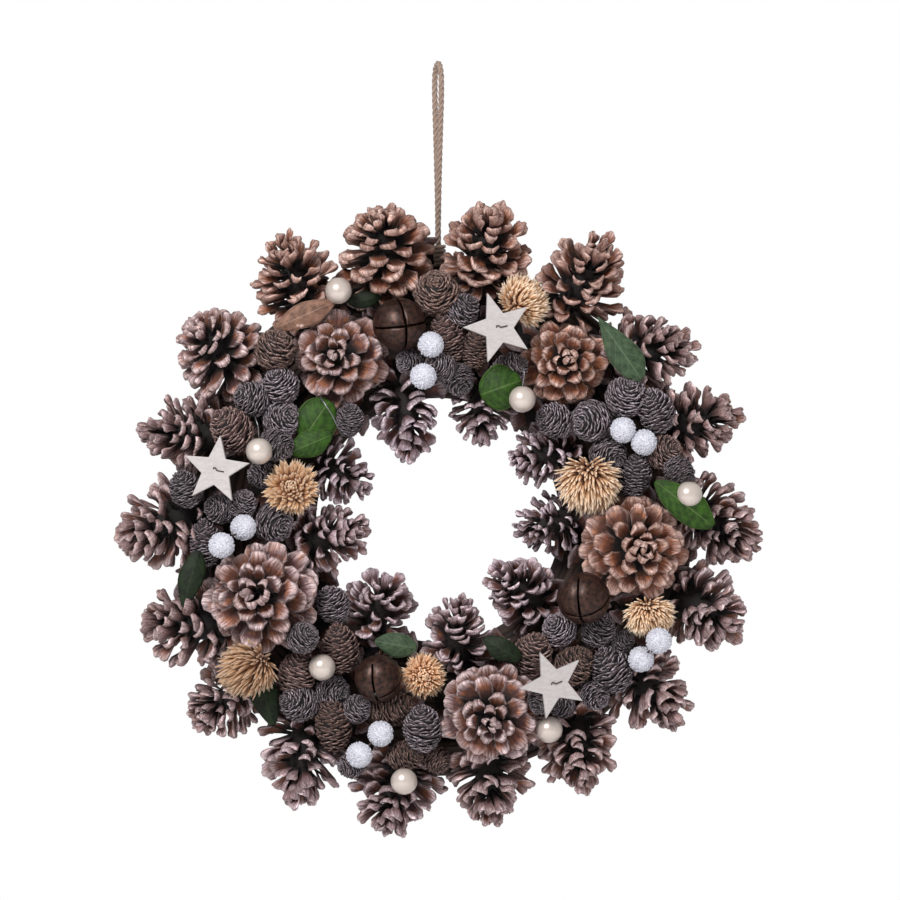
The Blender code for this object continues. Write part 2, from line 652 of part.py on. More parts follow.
# Pine cones, row by row.
for i, (angle, distance, radius, lean, turn) in enumerate(OUTER_CONES):
    x, z = distance * math.cos(math.radians(angle)), distance * math.sin(math.radians(angle))
    mesh = pine_cone_mesh(f"outer_cone_{i + 1:02d}", radius * MM, radius * CONE_LENGTH * MM)
    turns = [turned(angle, lean, turn + spin) for spin in (0, 45, 90, 135, 180, 225)]
    place = drop(mesh, turns, x, z, mesh.name, -0.5, -6.0, 1.6)
    add(mesh.name, mesh, CONE_RED if i in (0, 1, 2, 17) else CONE_BROWN, place)

for i, (x, z, radius, lean, turn) in enumerate(INNER_CONES):
    heading = math.degrees(math.atan2(z, x)) + 180
    mesh = pine_cone_mesh(f"inner_cone_{i + 1}", radius * MM, radius * CONE_LENGTH * MM, INNER_SCALES)
    turns = [turned(heading, lean, turn + spin) for spin in (0, 45, 90, 135, 180, 225)]
    place = drop(mesh, turns, x, z, mesh.name, -0.5, -8.0, 1.8)
    add(mesh.name, mesh, CONE_BROWN, place)

for i, (x, z, radius, heading, lean, turn) in enumerate(FRONT_CONES):
    mesh = pine_cone_mesh(f"front_cone_{i + 1}", radius * MM, radius * CONE_LENGTH * MM * 0.9)
    turns = [turned(heading, lean, turn + spin) for spin in (0, 45, 90, 135)]
    place = drop(mesh, turns, x, z, mesh.name, -16.0, -18.0, 1.2)
    add(mesh.name, mesh, CONE_RED if i == 1 else CONE_BROWN, place)

# Alder cones, each one sliding in from the front until something holds it.
sprays = [[] for _ in ALDER_CONES]  # (mesh in the wreath's frame, its middle)
for i, rows in enumerate(ALDER_CONES):
    for x, z, radius, length, heading, stands in rows:
        mesh = alder_mesh("alder cone", radius * MM, length * MM)
        place = drop(mesh, [turned(heading, 90 - stands, 40)], x, z, f"alder_spray_{i + 1}", -40.0)
        sprays[i].append((moved(mesh, place), place.to_translation()))

# Leaves, each an arched blade. Some stand on their own stem, some on a spray.
leaf_parts = []
for i, (color, x, z, length, width, heading, arch) in enumerate(LEAVES):
    mesh = leaf_mesh("leaf", length * MM, width * MM, arch * MM)
    turns = [facing(heading, 90, tilt) for tilt in (0, -12, 12)]
    place = drop(mesh, turns, x, z, f"leaf_{i + 1}", -16.0, -52.0)
    leaf_parts.append([(moved(mesh, place), place.to_translation())])
for i, x, z, length, width, heading, arch in SPRAY_LEAVES:
    mesh = leaf_mesh("leaf", length * MM, width * MM, arch * MM)
    turns = [facing(heading, 90, tilt) for tilt in (0, -12, 12)]
    place = drop(mesh, turns, x, z, f"alder_spray_{i + 1}", -46.0)
    sprays[i].append((moved(mesh, place), place.to_translation()))

# Jingle bells with a loose pellet in each.
for i, (x, z, radius, heading, lean, turn) in enumerate(BELLS):
    mesh = bell_mesh(f"bell_{i + 1}", radius)
    place = drop(mesh, [turned(heading, lean, turn)], x, z, f"bell_{i + 1}", -16.0, -44.0)
    add(f"bell_{i + 1}", mesh, RUSTY_STEEL, place)
    low = radius - BELL_WALL - PELLET_RADIUS - 3 * GAP
    pellet = sphere_mesh(f"bell_pellet_{i + 1}", PELLET_RADIUS * MM, 6, 4)
    add(pellet.name, pellet, STEEL, Matrix.Translation(place.to_translation() - Vector((0, 0, low * MM))))

# Bristly flower heads.
for i, (x, z, radius, length, heading, lean) in enumerate(FLOWER_HEADS):
    mesh = head_mesh(f"flower_head_{i + 1}", radius * MM, length * MM)
    turns = [turned(heading, lean, spin) for spin in (0, 60, 120)]
    place = drop(mesh, turns, x, z, mesh.name, -16.0, -46.0)
    add(mesh.name, mesh, STRAW, place)

# Frosted berries in joined pairs, and pearls.
for i, *ends in FROSTED_PAIRS:
    for x, z in ends:
        mesh = sphere_mesh("frosted berry", BERRY_RADIUS * MM, 8, 5)
        place = drop(mesh, [Matrix.Identity(3)], x, z, f"alder_spray_{i + 1}", -50.0)
        sprays[i].append((moved(mesh, place), place.to_translation()))
for i, x, z in PEARLS:
    mesh = sphere_mesh("pearl", PEARL_RADIUS * MM, 8, 5)
    place = drop(mesh, [Matrix.Identity(3)], x, z, f"alder_spray_{i + 1}", -52.0)
    sprays[i].append((moved(mesh, place), place.to_translation()))
for i, x, z in LEAF_PEARLS:
    mesh = sphere_mesh("pearl", PEARL_RADIUS * MM, 8, 5)
    place = drop(mesh, [Matrix.Identity(3)], x, z, f"leaf_{i + 1}", -50.0)
    leaf_parts[i].append((moved(mesh, place), place.to_translation()))

# Wooden stars, in front of everything.
for i, (x, z, radius, turn, heading, tilt) in enumerate(STARS):
    mesh = star_mesh(f"wooden_star_{i + 1}", radius)
    place = drop(mesh, [facing(turn, heading, tilt)], x, z, f"wooden_star_{i + 1}", -16.0, -70.0)
    add(f"wooden_star_{i + 1}", mesh, PALE_WOOD, place)

# Wires join the pieces of each spray and the pearls to their leaves.
for i, parts in enumerate(sprays):
    node = f"alder_spray_{i + 1}"
    add(node, join(node, [mesh for mesh, _ in parts] + wired(node, parts), "MANIFOLD"), ALDER_BROWN)
for i, parts in enumerate(leaf_parts):
    node = f"leaf_{i + 1}"
    mesh = join(node, [mesh for mesh, _ in parts] + wired(node, parts)) if len(parts) > 1 else parts[0][0]
    add(node, mesh, LEAF_COLORS[LEAVES[i][0]])

for cutter in list(cutters.objects):
    bpy.data.objects.remove(cutter)
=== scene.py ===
# Looks for the pine cone wreath: every cone, bead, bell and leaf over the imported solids, in metres.
import json
import math
import random
from functools import partial

import bmesh
import bpy
from mathutils import Matrix, Vector, noise
from mathutils.bvhtree import BVHTree

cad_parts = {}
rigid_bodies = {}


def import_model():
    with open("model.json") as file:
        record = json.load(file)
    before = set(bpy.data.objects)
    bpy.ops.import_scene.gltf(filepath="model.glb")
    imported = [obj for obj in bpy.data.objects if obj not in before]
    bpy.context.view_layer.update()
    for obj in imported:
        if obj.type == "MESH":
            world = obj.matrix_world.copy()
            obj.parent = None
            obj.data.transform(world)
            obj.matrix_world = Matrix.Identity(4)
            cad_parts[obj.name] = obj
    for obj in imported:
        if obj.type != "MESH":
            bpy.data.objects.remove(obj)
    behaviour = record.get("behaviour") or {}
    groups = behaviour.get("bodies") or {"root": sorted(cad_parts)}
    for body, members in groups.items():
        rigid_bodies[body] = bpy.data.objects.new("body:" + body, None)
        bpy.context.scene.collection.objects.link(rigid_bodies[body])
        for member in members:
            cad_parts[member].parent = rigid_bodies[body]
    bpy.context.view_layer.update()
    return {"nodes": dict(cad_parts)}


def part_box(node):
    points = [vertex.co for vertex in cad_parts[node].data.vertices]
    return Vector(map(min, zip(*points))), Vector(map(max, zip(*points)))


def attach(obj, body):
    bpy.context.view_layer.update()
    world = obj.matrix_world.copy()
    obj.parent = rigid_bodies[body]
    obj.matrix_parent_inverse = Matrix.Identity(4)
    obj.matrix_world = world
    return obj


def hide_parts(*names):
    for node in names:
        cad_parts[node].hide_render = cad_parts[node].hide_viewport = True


for leftover in list(bpy.data.objects):
    bpy.data.objects.remove(leftover, do_unlink=True)

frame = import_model()
cadNodes = frame["nodes"]
scene = bpy.context.scene
mm = 0.001
goldenAngle = math.radians(137.508)
wreathMiddle = Vector((0, 10.0, -258.4)) * mm  # the tables below are in mm from here, wall at y = 0
print("frame loaded,", len(cadNodes), "nodes")


# Small helpers

def srgb(code):
    # a hex colour as linear red, green, blue and alpha
    parts = [int(code[i:i + 2], 16) / 255 for i in (1, 3, 5)]
    return (*[c / 12.92 if c <= 0.04045 else ((c + 0.055) / 1.055) ** 2.4 for c in parts], 1.0)


def addNode(tree, kind, *inputs, output=0, **settings):
    # one node with its settings, and its inputs in order or as a dictionary: each a value or a socket to link
    node = tree.nodes.new(kind)
    for name, value in settings.items():
        setattr(node, name, value)
    named = inputs[0] if inputs and isinstance(inputs[0], dict) else dict(enumerate(inputs))
    for key, value in named.items():
        if isinstance(value, bpy.types.NodeSocket):
            tree.links.new(value, node.inputs[key])
        else:
            node.inputs[key].default_value = value
    return node.outputs[output]


def leaned(heading, lean):
    # the way to the front, leaned by lean degrees toward heading in the wreath's plane
    h, t = math.radians(heading), math.radians(lean)
    return Vector((math.sin(t) * math.cos(h), -math.cos(t), math.sin(t) * math.sin(h)))


def turned(heading, lean, turn=0.0):
    # local +Z to the front, leaned
    return leaned(heading, lean).to_track_quat("Z", "Y").to_matrix() @ Matrix.Rotation(math.radians(turn), 3, "Z")


def facing(spin, heading=0.0, lean=0.0):
    # local +Z to the front, leaned, and local +X at spin degrees in the wreath's plane
    a = math.radians(spin)
    flat = Matrix(((math.cos(a), -math.sin(a), 0), (0, 0, -1), (math.sin(a), math.cos(a), 0)))
    return Vector((0, -1, 0)).rotation_difference(leaned(heading, lean)).to_matrix() @ flat


def meshBox(mesh):
    co = [v.co for v in mesh.vertices]
    return Vector(min(c[i] for c in co) for i in range(3)), Vector(max(c[i] for c in co) for i in range(3))


skins = {}


def frontOf(node, x, z):
    # how far forward the solid of a node reaches at x, z (mm from the wreath's middle), in metres
    if node not in skins:
        data = cadNodes[node].data
        skins[node] = BVHTree.FromPolygons([v.co for v in data.vertices], [p.vertices[:] for p in data.polygons])
    start = wreathMiddle + Vector((x * mm, -0.4, z * mm))
    for dx, dz in ((0, 0), (1.5, 0), (-1.5, 0), (0, 1.5), (0, -1.5), (4, 0), (-4, 0), (0, 4), (0, -4)):
        hit = skins[node].ray_cast(start + Vector((dx, 0, dz)) * mm, Vector((0, 1, 0)))
        if hit[0] is not None:
            return hit[0].y
    return wreathMiddle.y - 50 * mm  # no solid there


def seated(node, x, z, behind=0.0, probe=(0, 0)):
    # the point at x, z (mm from the wreath's middle), this many mm behind the front of the node's solid
    return Vector((x * mm, frontOf(node, x + probe[0], z + probe[1]) + behind * mm, z * mm + wreathMiddle.z))


def placement(at, turn):
    return Matrix.Translation(at) @ turn.to_4x4()


def inScene(name, data):
    obj = bpy.data.objects.new(name, data)
    scene.collection.objects.link(obj)
    return obj


def makePiece(name, mesh, materials=(), replaced=(), slot=None):
    # a finished piece at the origin, riding with the wreath
    obj = inScene(name, mesh)
    mesh.name = name
    for material in materials:
        mesh.materials.append(material)
    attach(obj, "root")
    if replaced:
        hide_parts(*replaced)
    return obj


def evaluated(obj):
    # the plain mesh that the object's modifier makes; the object goes
    graph = bpy.context.evaluated_depsgraph_get()
    graph.update()
    mesh = bpy.data.meshes.new_from_object(obj.evaluated_get(graph), preserve_all_data_layers=True, depsgraph=graph)
    bpy.data.objects.remove(obj)
    return mesh


def thickened(mesh, wall, offset):
    # a sheet with a wall this many mm thick
    obj = inScene("sheet", mesh)
    modifier = obj.modifiers.new("wall", "SOLIDIFY")
    modifier.thickness = wall * mm
    modifier.offset = offset
    return evaluated(obj)


def joinMeshes(name, *placedMeshes):
    # meshes or (mesh, matrix) pairs as one mesh, with their attributes and materials
    holder = []
    for placed in placedMeshes:
        mesh, place = placed if isinstance(placed, tuple) else (placed, Matrix.Identity(4))
        holder.append(inScene("part", mesh.copy()))
        holder[-1].data.transform(place)
    with bpy.context.temp_override(active_object=holder[0], selected_objects=holder,
                                   selected_editable_objects=holder):
        bpy.ops.object.join()
    mesh = holder[0].data
    bpy.data.objects.remove(holder[0])
    mesh.name = name
    return mesh


def bridge(bm, rings, capped=True):
    # faces from each ring of vertices to the next, and over both ends
    for a, b in zip(rings, rings[1:]):
        for k in range(len(a)):
            bm.faces.new((a[k], a[(k + 1) % len(a)], b[(k + 1) % len(a)], b[k]))
    if capped:
        bm.faces.new(list(reversed(rings[0])))
        bm.faces.new(rings[-1])


def framesAlong(points):
    # each point with its direction and two more at right angles to it, which turn as little as they can
    normal = None
    for i, point in enumerate(points):
        ahead = (points[min(i + 1, len(points) - 1)] - points[max(i - 1, 0)]).normalized()
        normal = (normal - ahead * normal.dot(ahead) if normal else ahead.orthogonal()).normalized()
        yield point, ahead, normal, ahead.cross(normal)


def tubeInto(bm, points, radius, sides=6):
    # a round closed tube through points, added to a bmesh
    angles = [2 * math.pi * k / sides for k in range(sides)]
    bridge(bm, [[bm.verts.new(point + (normal * math.cos(a) + side * math.sin(a)) * radius) for a in angles]
                for point, ahead, normal, side in framesAlong(points)])


def meshOf(bm, name, smooth=True):
    bmesh.ops.recalc_face_normals(bm, faces=bm.faces)
    mesh = bpy.data.meshes.new(name)
    bm.to_mesh(mesh)
    bm.free()
    if smooth:
        mesh.shade_smooth()
    return mesh


def setFloats(mesh, rows, *names):
    # attributes for the materials: one row for each vertex, one name for each column
    for name, values in zip(names, zip(*rows)):
        mesh.attributes.new(name, "FLOAT", "POINT").data.foreach_set("value", [float(value) for value in values])


# Camera: the photograph looks straight at the wreath through a long lens

cameraSet = {"lens": 250.0, "sensor": 36.0, "frameWidth": 508.5, "lookX": 6.8, "lookZ": -218.3, "planeY": -25.0}
cameraData = bpy.data.cameras.new("photoCamera")
cameraData.lens = cameraSet["lens"]
cameraData.sensor_width = cameraSet["sensor"]
cameraData.clip_end = 50.0
camera = inScene("photoCamera", cameraData)
away = cameraSet["frameWidth"] * cameraSet["lens"] / cameraSet["sensor"]
camera.location = Vector((cameraSet["lookX"], cameraSet["planeY"] - away, cameraSet["lookZ"])) * mm
camera.rotation_euler = (math.radians(90), 0, 0)
scene.camera = camera


# Materials

def newMaterial(name, roughness, coat=0.0, sheen=0.0):
    material = bpy.data.materials.new(name)
    material.use_nodes = True
    shader = material.node_tree.nodes["Principled BSDF"]
    shader.inputs["Roughness"].default_value = roughness
    shader.inputs["Coat Weight"].default_value = coat
    shader.inputs["Sheen Weight"].default_value = sheen
    return material, shader, partial(addNode, material.node_tree)


def finish(shader, color, layers=(), height=None, strength=0.5, deep=0.0):
    # colours laid one over the other, each (how much of it, hex value), and a height as a bump, deep in mm
    add = partial(addNode, shader.id_data)
    for share, over in layers:
        color = add("ShaderNodeMix", {0: share, 6: color, 7: srgb(over)}, output=2, data_type="RGBA")
    shader.id_data.links.new(color, shader.inputs["Base Color"])
    if height is not None:
        relief = add("ShaderNodeBump", {"Height": height, "Strength": strength, "Distance": deep * mm})
        shader.id_data.links.new(relief, shader.inputs["Normal"])


def scaleMaterial(name, warm, cool, inner, rim, accent, streak=0.8, lit=0.85, dusty=0.72, shield=0.5):
    # woody cone scale: painted shade at the root where the scales overlap (the inner colour, up to lit along it),
    # warm inside face, dry pale lip, streaks (mm wide) along its length
    material, shader, add = newMaterial(name, 0.72)
    along, crosswise, side, tint, aged = (add("ShaderNodeAttribute", attribute_name=label, output="Fac")
                                          for label in ("along", "across", "side", "tint", "aged"))
    across = add("ShaderNodeMath", crosswise, operation="ABSOLUTE")
    fibrePlace = add("ShaderNodeCombineXYZ", along, crosswise, tint)
    fibrePlace = add("ShaderNodeVectorMath", fibrePlace, (2.6, 5.0 / streak, 40.0), operation="MULTIPLY")
    fibres = add("ShaderNodeTexNoise", {"Vector": fibrePlace, "Scale": 1.0, "Detail": 4.0, "Roughness": 0.65})
    place = add("ShaderNodeTexCoord", output="Object")
    clouds, specks = (add("ShaderNodeTexNoise", {"Vector": place, "Scale": 1 / (size * mm), "Detail": detail,
                                                 "Roughness": rough})
                      for size, detail, rough in ((5.263, 3.0, 0.55), (1.5385, 4.0, 0.75)))  # sizes in mm
    under = add("ShaderNodeMapRange", side, -0.2, 0.3, 1.0, 0.0)
    edge = add("ShaderNodeMath", add("ShaderNodeMapRange", along, 0.75, 0.98),
               add("ShaderNodeMapRange", across, 0.72, 1.0, 0.0, 0.75), operation="MAXIMUM")
    lip = add("ShaderNodeMapRange", along, 0.60, 0.82, 0.0, shield)
    lip = add("ShaderNodeMath", under, lip, operation="MULTIPLY")
    edge = add("ShaderNodeMath", edge, lip, operation="MAXIMUM")
    for mask in (add("ShaderNodeMapRange", along, 0.45, 0.75),
                 add("ShaderNodeMapRange", under, 0.0, 1.0, 1.0, shield),
                 add("ShaderNodeMapRange", fibres, 0.35, 0.65, 0.35, 1.0)):
        edge = add("ShaderNodeMath", edge, mask, operation="MULTIPLY")
    dry = add("ShaderNodeMix", {0: edge, 6: srgb("#463239"), 7: srgb("#bcb0bd")}, output=2, data_type="RGBA")
    dryShare = add("ShaderNodeMapRange", along, lit - 0.35, lit, 0.1, dusty)
    # the inner colour is painted shade: full up to lit - 0.4 along the scale, gone at lit
    wood = srgb(warm)
    for share, over in ((add("ShaderNodeMapRange", tint, 0.2, 0.8), srgb(cool)),
                        (add("ShaderNodeMapRange", clouds, 0.50, 0.66, 0.0, 0.8), srgb(accent)),
                        (add("ShaderNodeMapRange", side, -0.2, 0.3, 0.8, 0.0), srgb(cool)),
                        (add("ShaderNodeMapRange", along, lit - 0.40, lit, 1.0, 0.0), srgb(inner)),
                        (edge, srgb(rim)), (add("ShaderNodeMath", aged, dryShare, operation="MULTIPLY"), dry)):
        wood = add("ShaderNodeMix", {0: share, 6: wood, 7: over}, output=2, data_type="RGBA")
    light = add("ShaderNodeMapRange", aged, 0.0, 1.0, 1.0, 1.35)
    for mask in (add("ShaderNodeMapRange", fibres, 0.28, 0.72, 0.34, 1.68),
                 add("ShaderNodeMapRange", specks, 0.30, 0.70, 0.70, 1.30),
                 add("ShaderNodeMapRange", tint, 0.0, 1.0, 0.78, 1.25)):
        light = add("ShaderNodeMath", light, mask, operation="MULTIPLY")
    crust = add("ShaderNodeMath", specks, 0.8, fibres, operation="MULTIPLY_ADD")
    finish(shader, add("ShaderNodeHueSaturation", {"Value": light, "Color": wood}), (), crust, 0.9, 1.2)
    return material


# open pine cone, dried: matt brown wood with bleached lilac lips, and near-black painted shade at the scale roots
pineWood = scaleMaterial("driedPineConeWood", "#8d533d", "#5f3e3d", "#100807", "#c4afad", "#b06a40")
# the same wood, redder where less sun has bleached it, with the same painted root shade
redPineWood = scaleMaterial("reddishPineConeWood", "#99563c", "#6e4436", "#120807", "#c2a79e", "#ba7043")
# small alder cones: nearly black wood with dusty blue-grey ridges, and black painted shade between the ridges, over
# each scale up to its lip
alderWood = scaleMaterial("driedAlderConeWood", "#3a2b24", "#2c2425", "#020101", "#988d95", "#4f3224",
                          2.5, 0.97, 0.22, 0.0)
# the few fresher alder cones, still reddish brown, with the same painted shade between the ridges
redAlderWood = scaleMaterial("freshAlderConeWood", "#54362a", "#402c28", "#030101", "#8c746c", "#663f2c",
                             2.5, 0.97, 0.15, 0.0)


def speckled(name, roughness, low, high, size, deep, **more):
    # two colours in small clouds, size in mm, with a bump of the same pattern, deep in mm
    material, shader, add = newMaterial(name, roughness, **more)
    place = add("ShaderNodeTexCoord", output="Object")
    clouds = add("ShaderNodeTexNoise", {"Vector": place, "Scale": 1 / (size * mm), "Detail": 6.0, "Roughness": 0.55})
    mask = add("ShaderNodeMapRange", clouds, 0.35, 0.65)
    finish(shader, srgb(low), ((mask, high),), clouds, 0.6, deep)
    return material, shader


# jingle bell steel, chemically rusted brown and waxed: satin with darker clouds of 2.4 mm
rustySteel, shader = speckled("rustedBellSteel", 0.42, "#1f1310", "#4a3027", 2.381, 0.1)
shader.inputs["Metallic"].default_value = 0.55
# pellet, plain steel: bright grey, with turning marks drawn coarser than real, 1 mm
pelletSteel, shader = speckled("pelletSteel", 0.35, "#77787a", "#97989a", 1.1111, 0.05)
shader.inputs["Metallic"].default_value = 1.0
# florist's binding wire, dark brown lacquer: a soft shine, worn every 1.4 mm
bindingWire, shader = speckled("lacqueredBindingWire", 0.45, "#241a15", "#3b2b22", 1.4286, 0.05)
# pearl bead, lacquered ivory plastic: pearly skin over a warm core, in wide 17 mm clouds
pearlLacquer, shader = speckled("pearlLacquer", 0.30, "#c0b3ab", "#cdc1b8", 16.667, 0.01, coat=0.6)
shader.inputs["Metallic"].default_value = 0.35
# sugar frosting, white grains on foam, 0.9 mm
sugarFrost, shader = speckled("sugarFrosting", 0.6, "#b0b0bc", "#d2d2da", 0.9091, 0.4)
# plywood star, whitewashed: chalky off-white with faint grain, 3 mm long and 1.4 mm wide
whiteWood, shader, add = newMaterial("whitewashedPlywood", 0.72)
grainPlace = add("ShaderNodeMapping", {"Vector": add("ShaderNodeTexCoord", output="Object"),
                                       "Scale": [1 / (size * mm) for size in (3.125, 3.125, 1.4286)]})
grain = add("ShaderNodeTexNoise", {"Vector": grainPlace, "Scale": 1.0, "Detail": 4.0, "Roughness": 0.55})
mask = add("ShaderNodeMapRange", grain, 0.35, 0.7)
finish(shader, srgb("#b1abaa"), ((mask, "#a49d9b"),), grain, 0.2, 0.1)


def fibrous(name, roughness, repeats, sheen=0.0):
    # a material whose streaks repeat this often along, round and from piece to piece
    material, shader, add = newMaterial(name, roughness, sheen=sheen)
    labels = [add("ShaderNodeAttribute", attribute_name=label, output="Fac") for label in ("along", "across", "tint")]
    place = add("ShaderNodeVectorMath", add("ShaderNodeCombineXYZ", *labels), repeats, operation="MULTIPLY")
    streaks = add("ShaderNodeTexNoise", {"Vector": place, "Scale": 1.0, "Detail": 5.0, "Roughness": 0.55})
    return material, shader, add, labels[2], streaks


# jute, twisted fibre: matt grey-beige, darker between the plies, a fibre bundle every 3.6 mm
juteFibre, shader, add, tint, streaks = fibrous("twistedJute", 0.92, (60.0, 9.0, 0.0), 0.25)
mask = add("ShaderNodeMapRange", streaks, 0.3, 0.7)
finish(shader, srgb("#6c564b"), ((mask, "#aa9384"),), streaks, 0.8, 0.4)
# willow rods, soaked and dried with the bark on: dark brown with long streaks, 17 mm, darkened further to near black
# as painted shade for the gaps between the pieces
shadedWillowBark, shader, add, tint, streaks = fibrous("willowBarkDarkenedAsShade", 0.75, (40.0, 7.0, 30.0))
mask = add("ShaderNodeMapRange", streaks, 0.4, 0.75)
finish(shader, srgb("#2c1f18"), ((tint, "#453127"), (mask, "#140d0a")), streaks, 0.5, 0.6)
# dried thistle-like bristles: golden straw, orange inside, bleached tips
strawBristle, shader, add = newMaterial("driedFlowerBristle", 0.8, sheen=0.2)
strawAlong, strawTint, strawDarkening = (add("ShaderNodeAttribute", attribute_name=label, output="Fac")
                                    for label in ("along", "tint", "aged"))
strawColor = add("ShaderNodeValToRGB", strawAlong)
strawStops = ((0.0, "#7d4a24"), (0.32, "#c08a58"), (0.72, "#dcb48b"), (1.0, "#f4e0c8"))
ramp = strawColor.node.color_ramp
while len(ramp.elements) < len(strawStops):
    ramp.elements.new(0.5)
for element, (place, code) in zip(ramp.elements, strawStops):
    element.position = place
    element.color = srgb(code)
# each head turns darker and more orange by its given darkening, kept on the mesh as aged
for share, over in ((add("ShaderNodeMapRange", strawTint, 0.0, 1.0, 0.0, 0.35), "#b88352"),
                    (add("ShaderNodeMapRange", strawDarkening, 0.5, 1.0, 0.0, 0.40), "#b07040")):
    strawColor = add("ShaderNodeMix", {0: share, 6: strawColor, 7: srgb(over)}, output=2, data_type="RGBA")
strawBrightness = add("ShaderNodeMapRange", strawDarkening, 0.0, 1.0, 1.28, 0.72)
finish(shader, add("ShaderNodeHueSaturation", {"Value": strawBrightness, "Color": strawColor}))


def leafMaterial(name, light, dark, pale):
    # preserved leaf: waxed upper face, paler veins fanning from the middle rib, 13 to a leaf
    material, shader, add = newMaterial(name, 0.65)
    shader.inputs["Specular IOR Level"].default_value = 0.25
    along, across = (add("ShaderNodeAttribute", attribute_name=label, output="Fac") for label in ("along", "across"))
    veinPlace = add("ShaderNodeMath", along, 13.0, operation="MULTIPLY")
    veinPlace = add("ShaderNodeMath", across, -4.0, veinPlace, operation="MULTIPLY_ADD")
    vein = add("ShaderNodeMath", veinPlace, 1.0, operation="PINGPONG")
    clouds = add("ShaderNodeTexNoise", {"Vector": add("ShaderNodeTexCoord", output="Object"), "Detail": 4.0,
                                        "Scale": 1 / (3.8462 * mm), "Roughness": 0.55})
    finish(shader, srgb(dark), ((add("ShaderNodeMapRange", clouds, 0.35, 0.65), light),
                                (add("ShaderNodeMapRange", vein, 0.75, 1.0, 0.0, 0.16), pale),
                                (add("ShaderNodeMapRange", across, 0.93, 1.0, 0.0, 0.75), pale),
                                (add("ShaderNodeMapRange", across, 0.02, 0.05, 0.40, 0.0), pale)), vein, 0.3, 0.3)
    return material


leafMaterials = {
    "bright": leafMaterial("preservedGreenLeaf", "#2c4b10", "#172d07", "#617345"),
    "grey": leafMaterial("preservedGreyGreenLeaf", "#3f5039", "#273624", "#67755d"),
    "dark": leafMaterial("driedDarkLeaf", "#172510", "#080e05", "#303b22"),
    "brown": leafMaterial("driedBract", "#866353", "#5b4135", "#a98f82"),
}
print("materials made")


# One geometry tree lays pieces in a golden spiral on a profile: scales, bristles and grains

def geometryTree(name, *inputs):
    # a tree with these inputs (label, kind, value at the start), what adds nodes to it, and its inputs by label
    tree = bpy.data.node_groups.new(name, "GeometryNodeTree")
    tree.interface.new_socket(name="Geometry", in_out="INPUT", socket_type="NodeSocketGeometry")
    for label, kind, *start in inputs:
        socket = tree.interface.new_socket(name=label, in_out="INPUT", socket_type="NodeSocket" + kind)
        if start:
            socket.default_value = start[0]
    tree.interface.new_socket(name="Geometry", in_out="OUTPUT", socket_type="NodeSocketGeometry")
    return tree, partial(addNode, tree), {s.name: s for s in tree.nodes.new("NodeGroupInput").outputs}


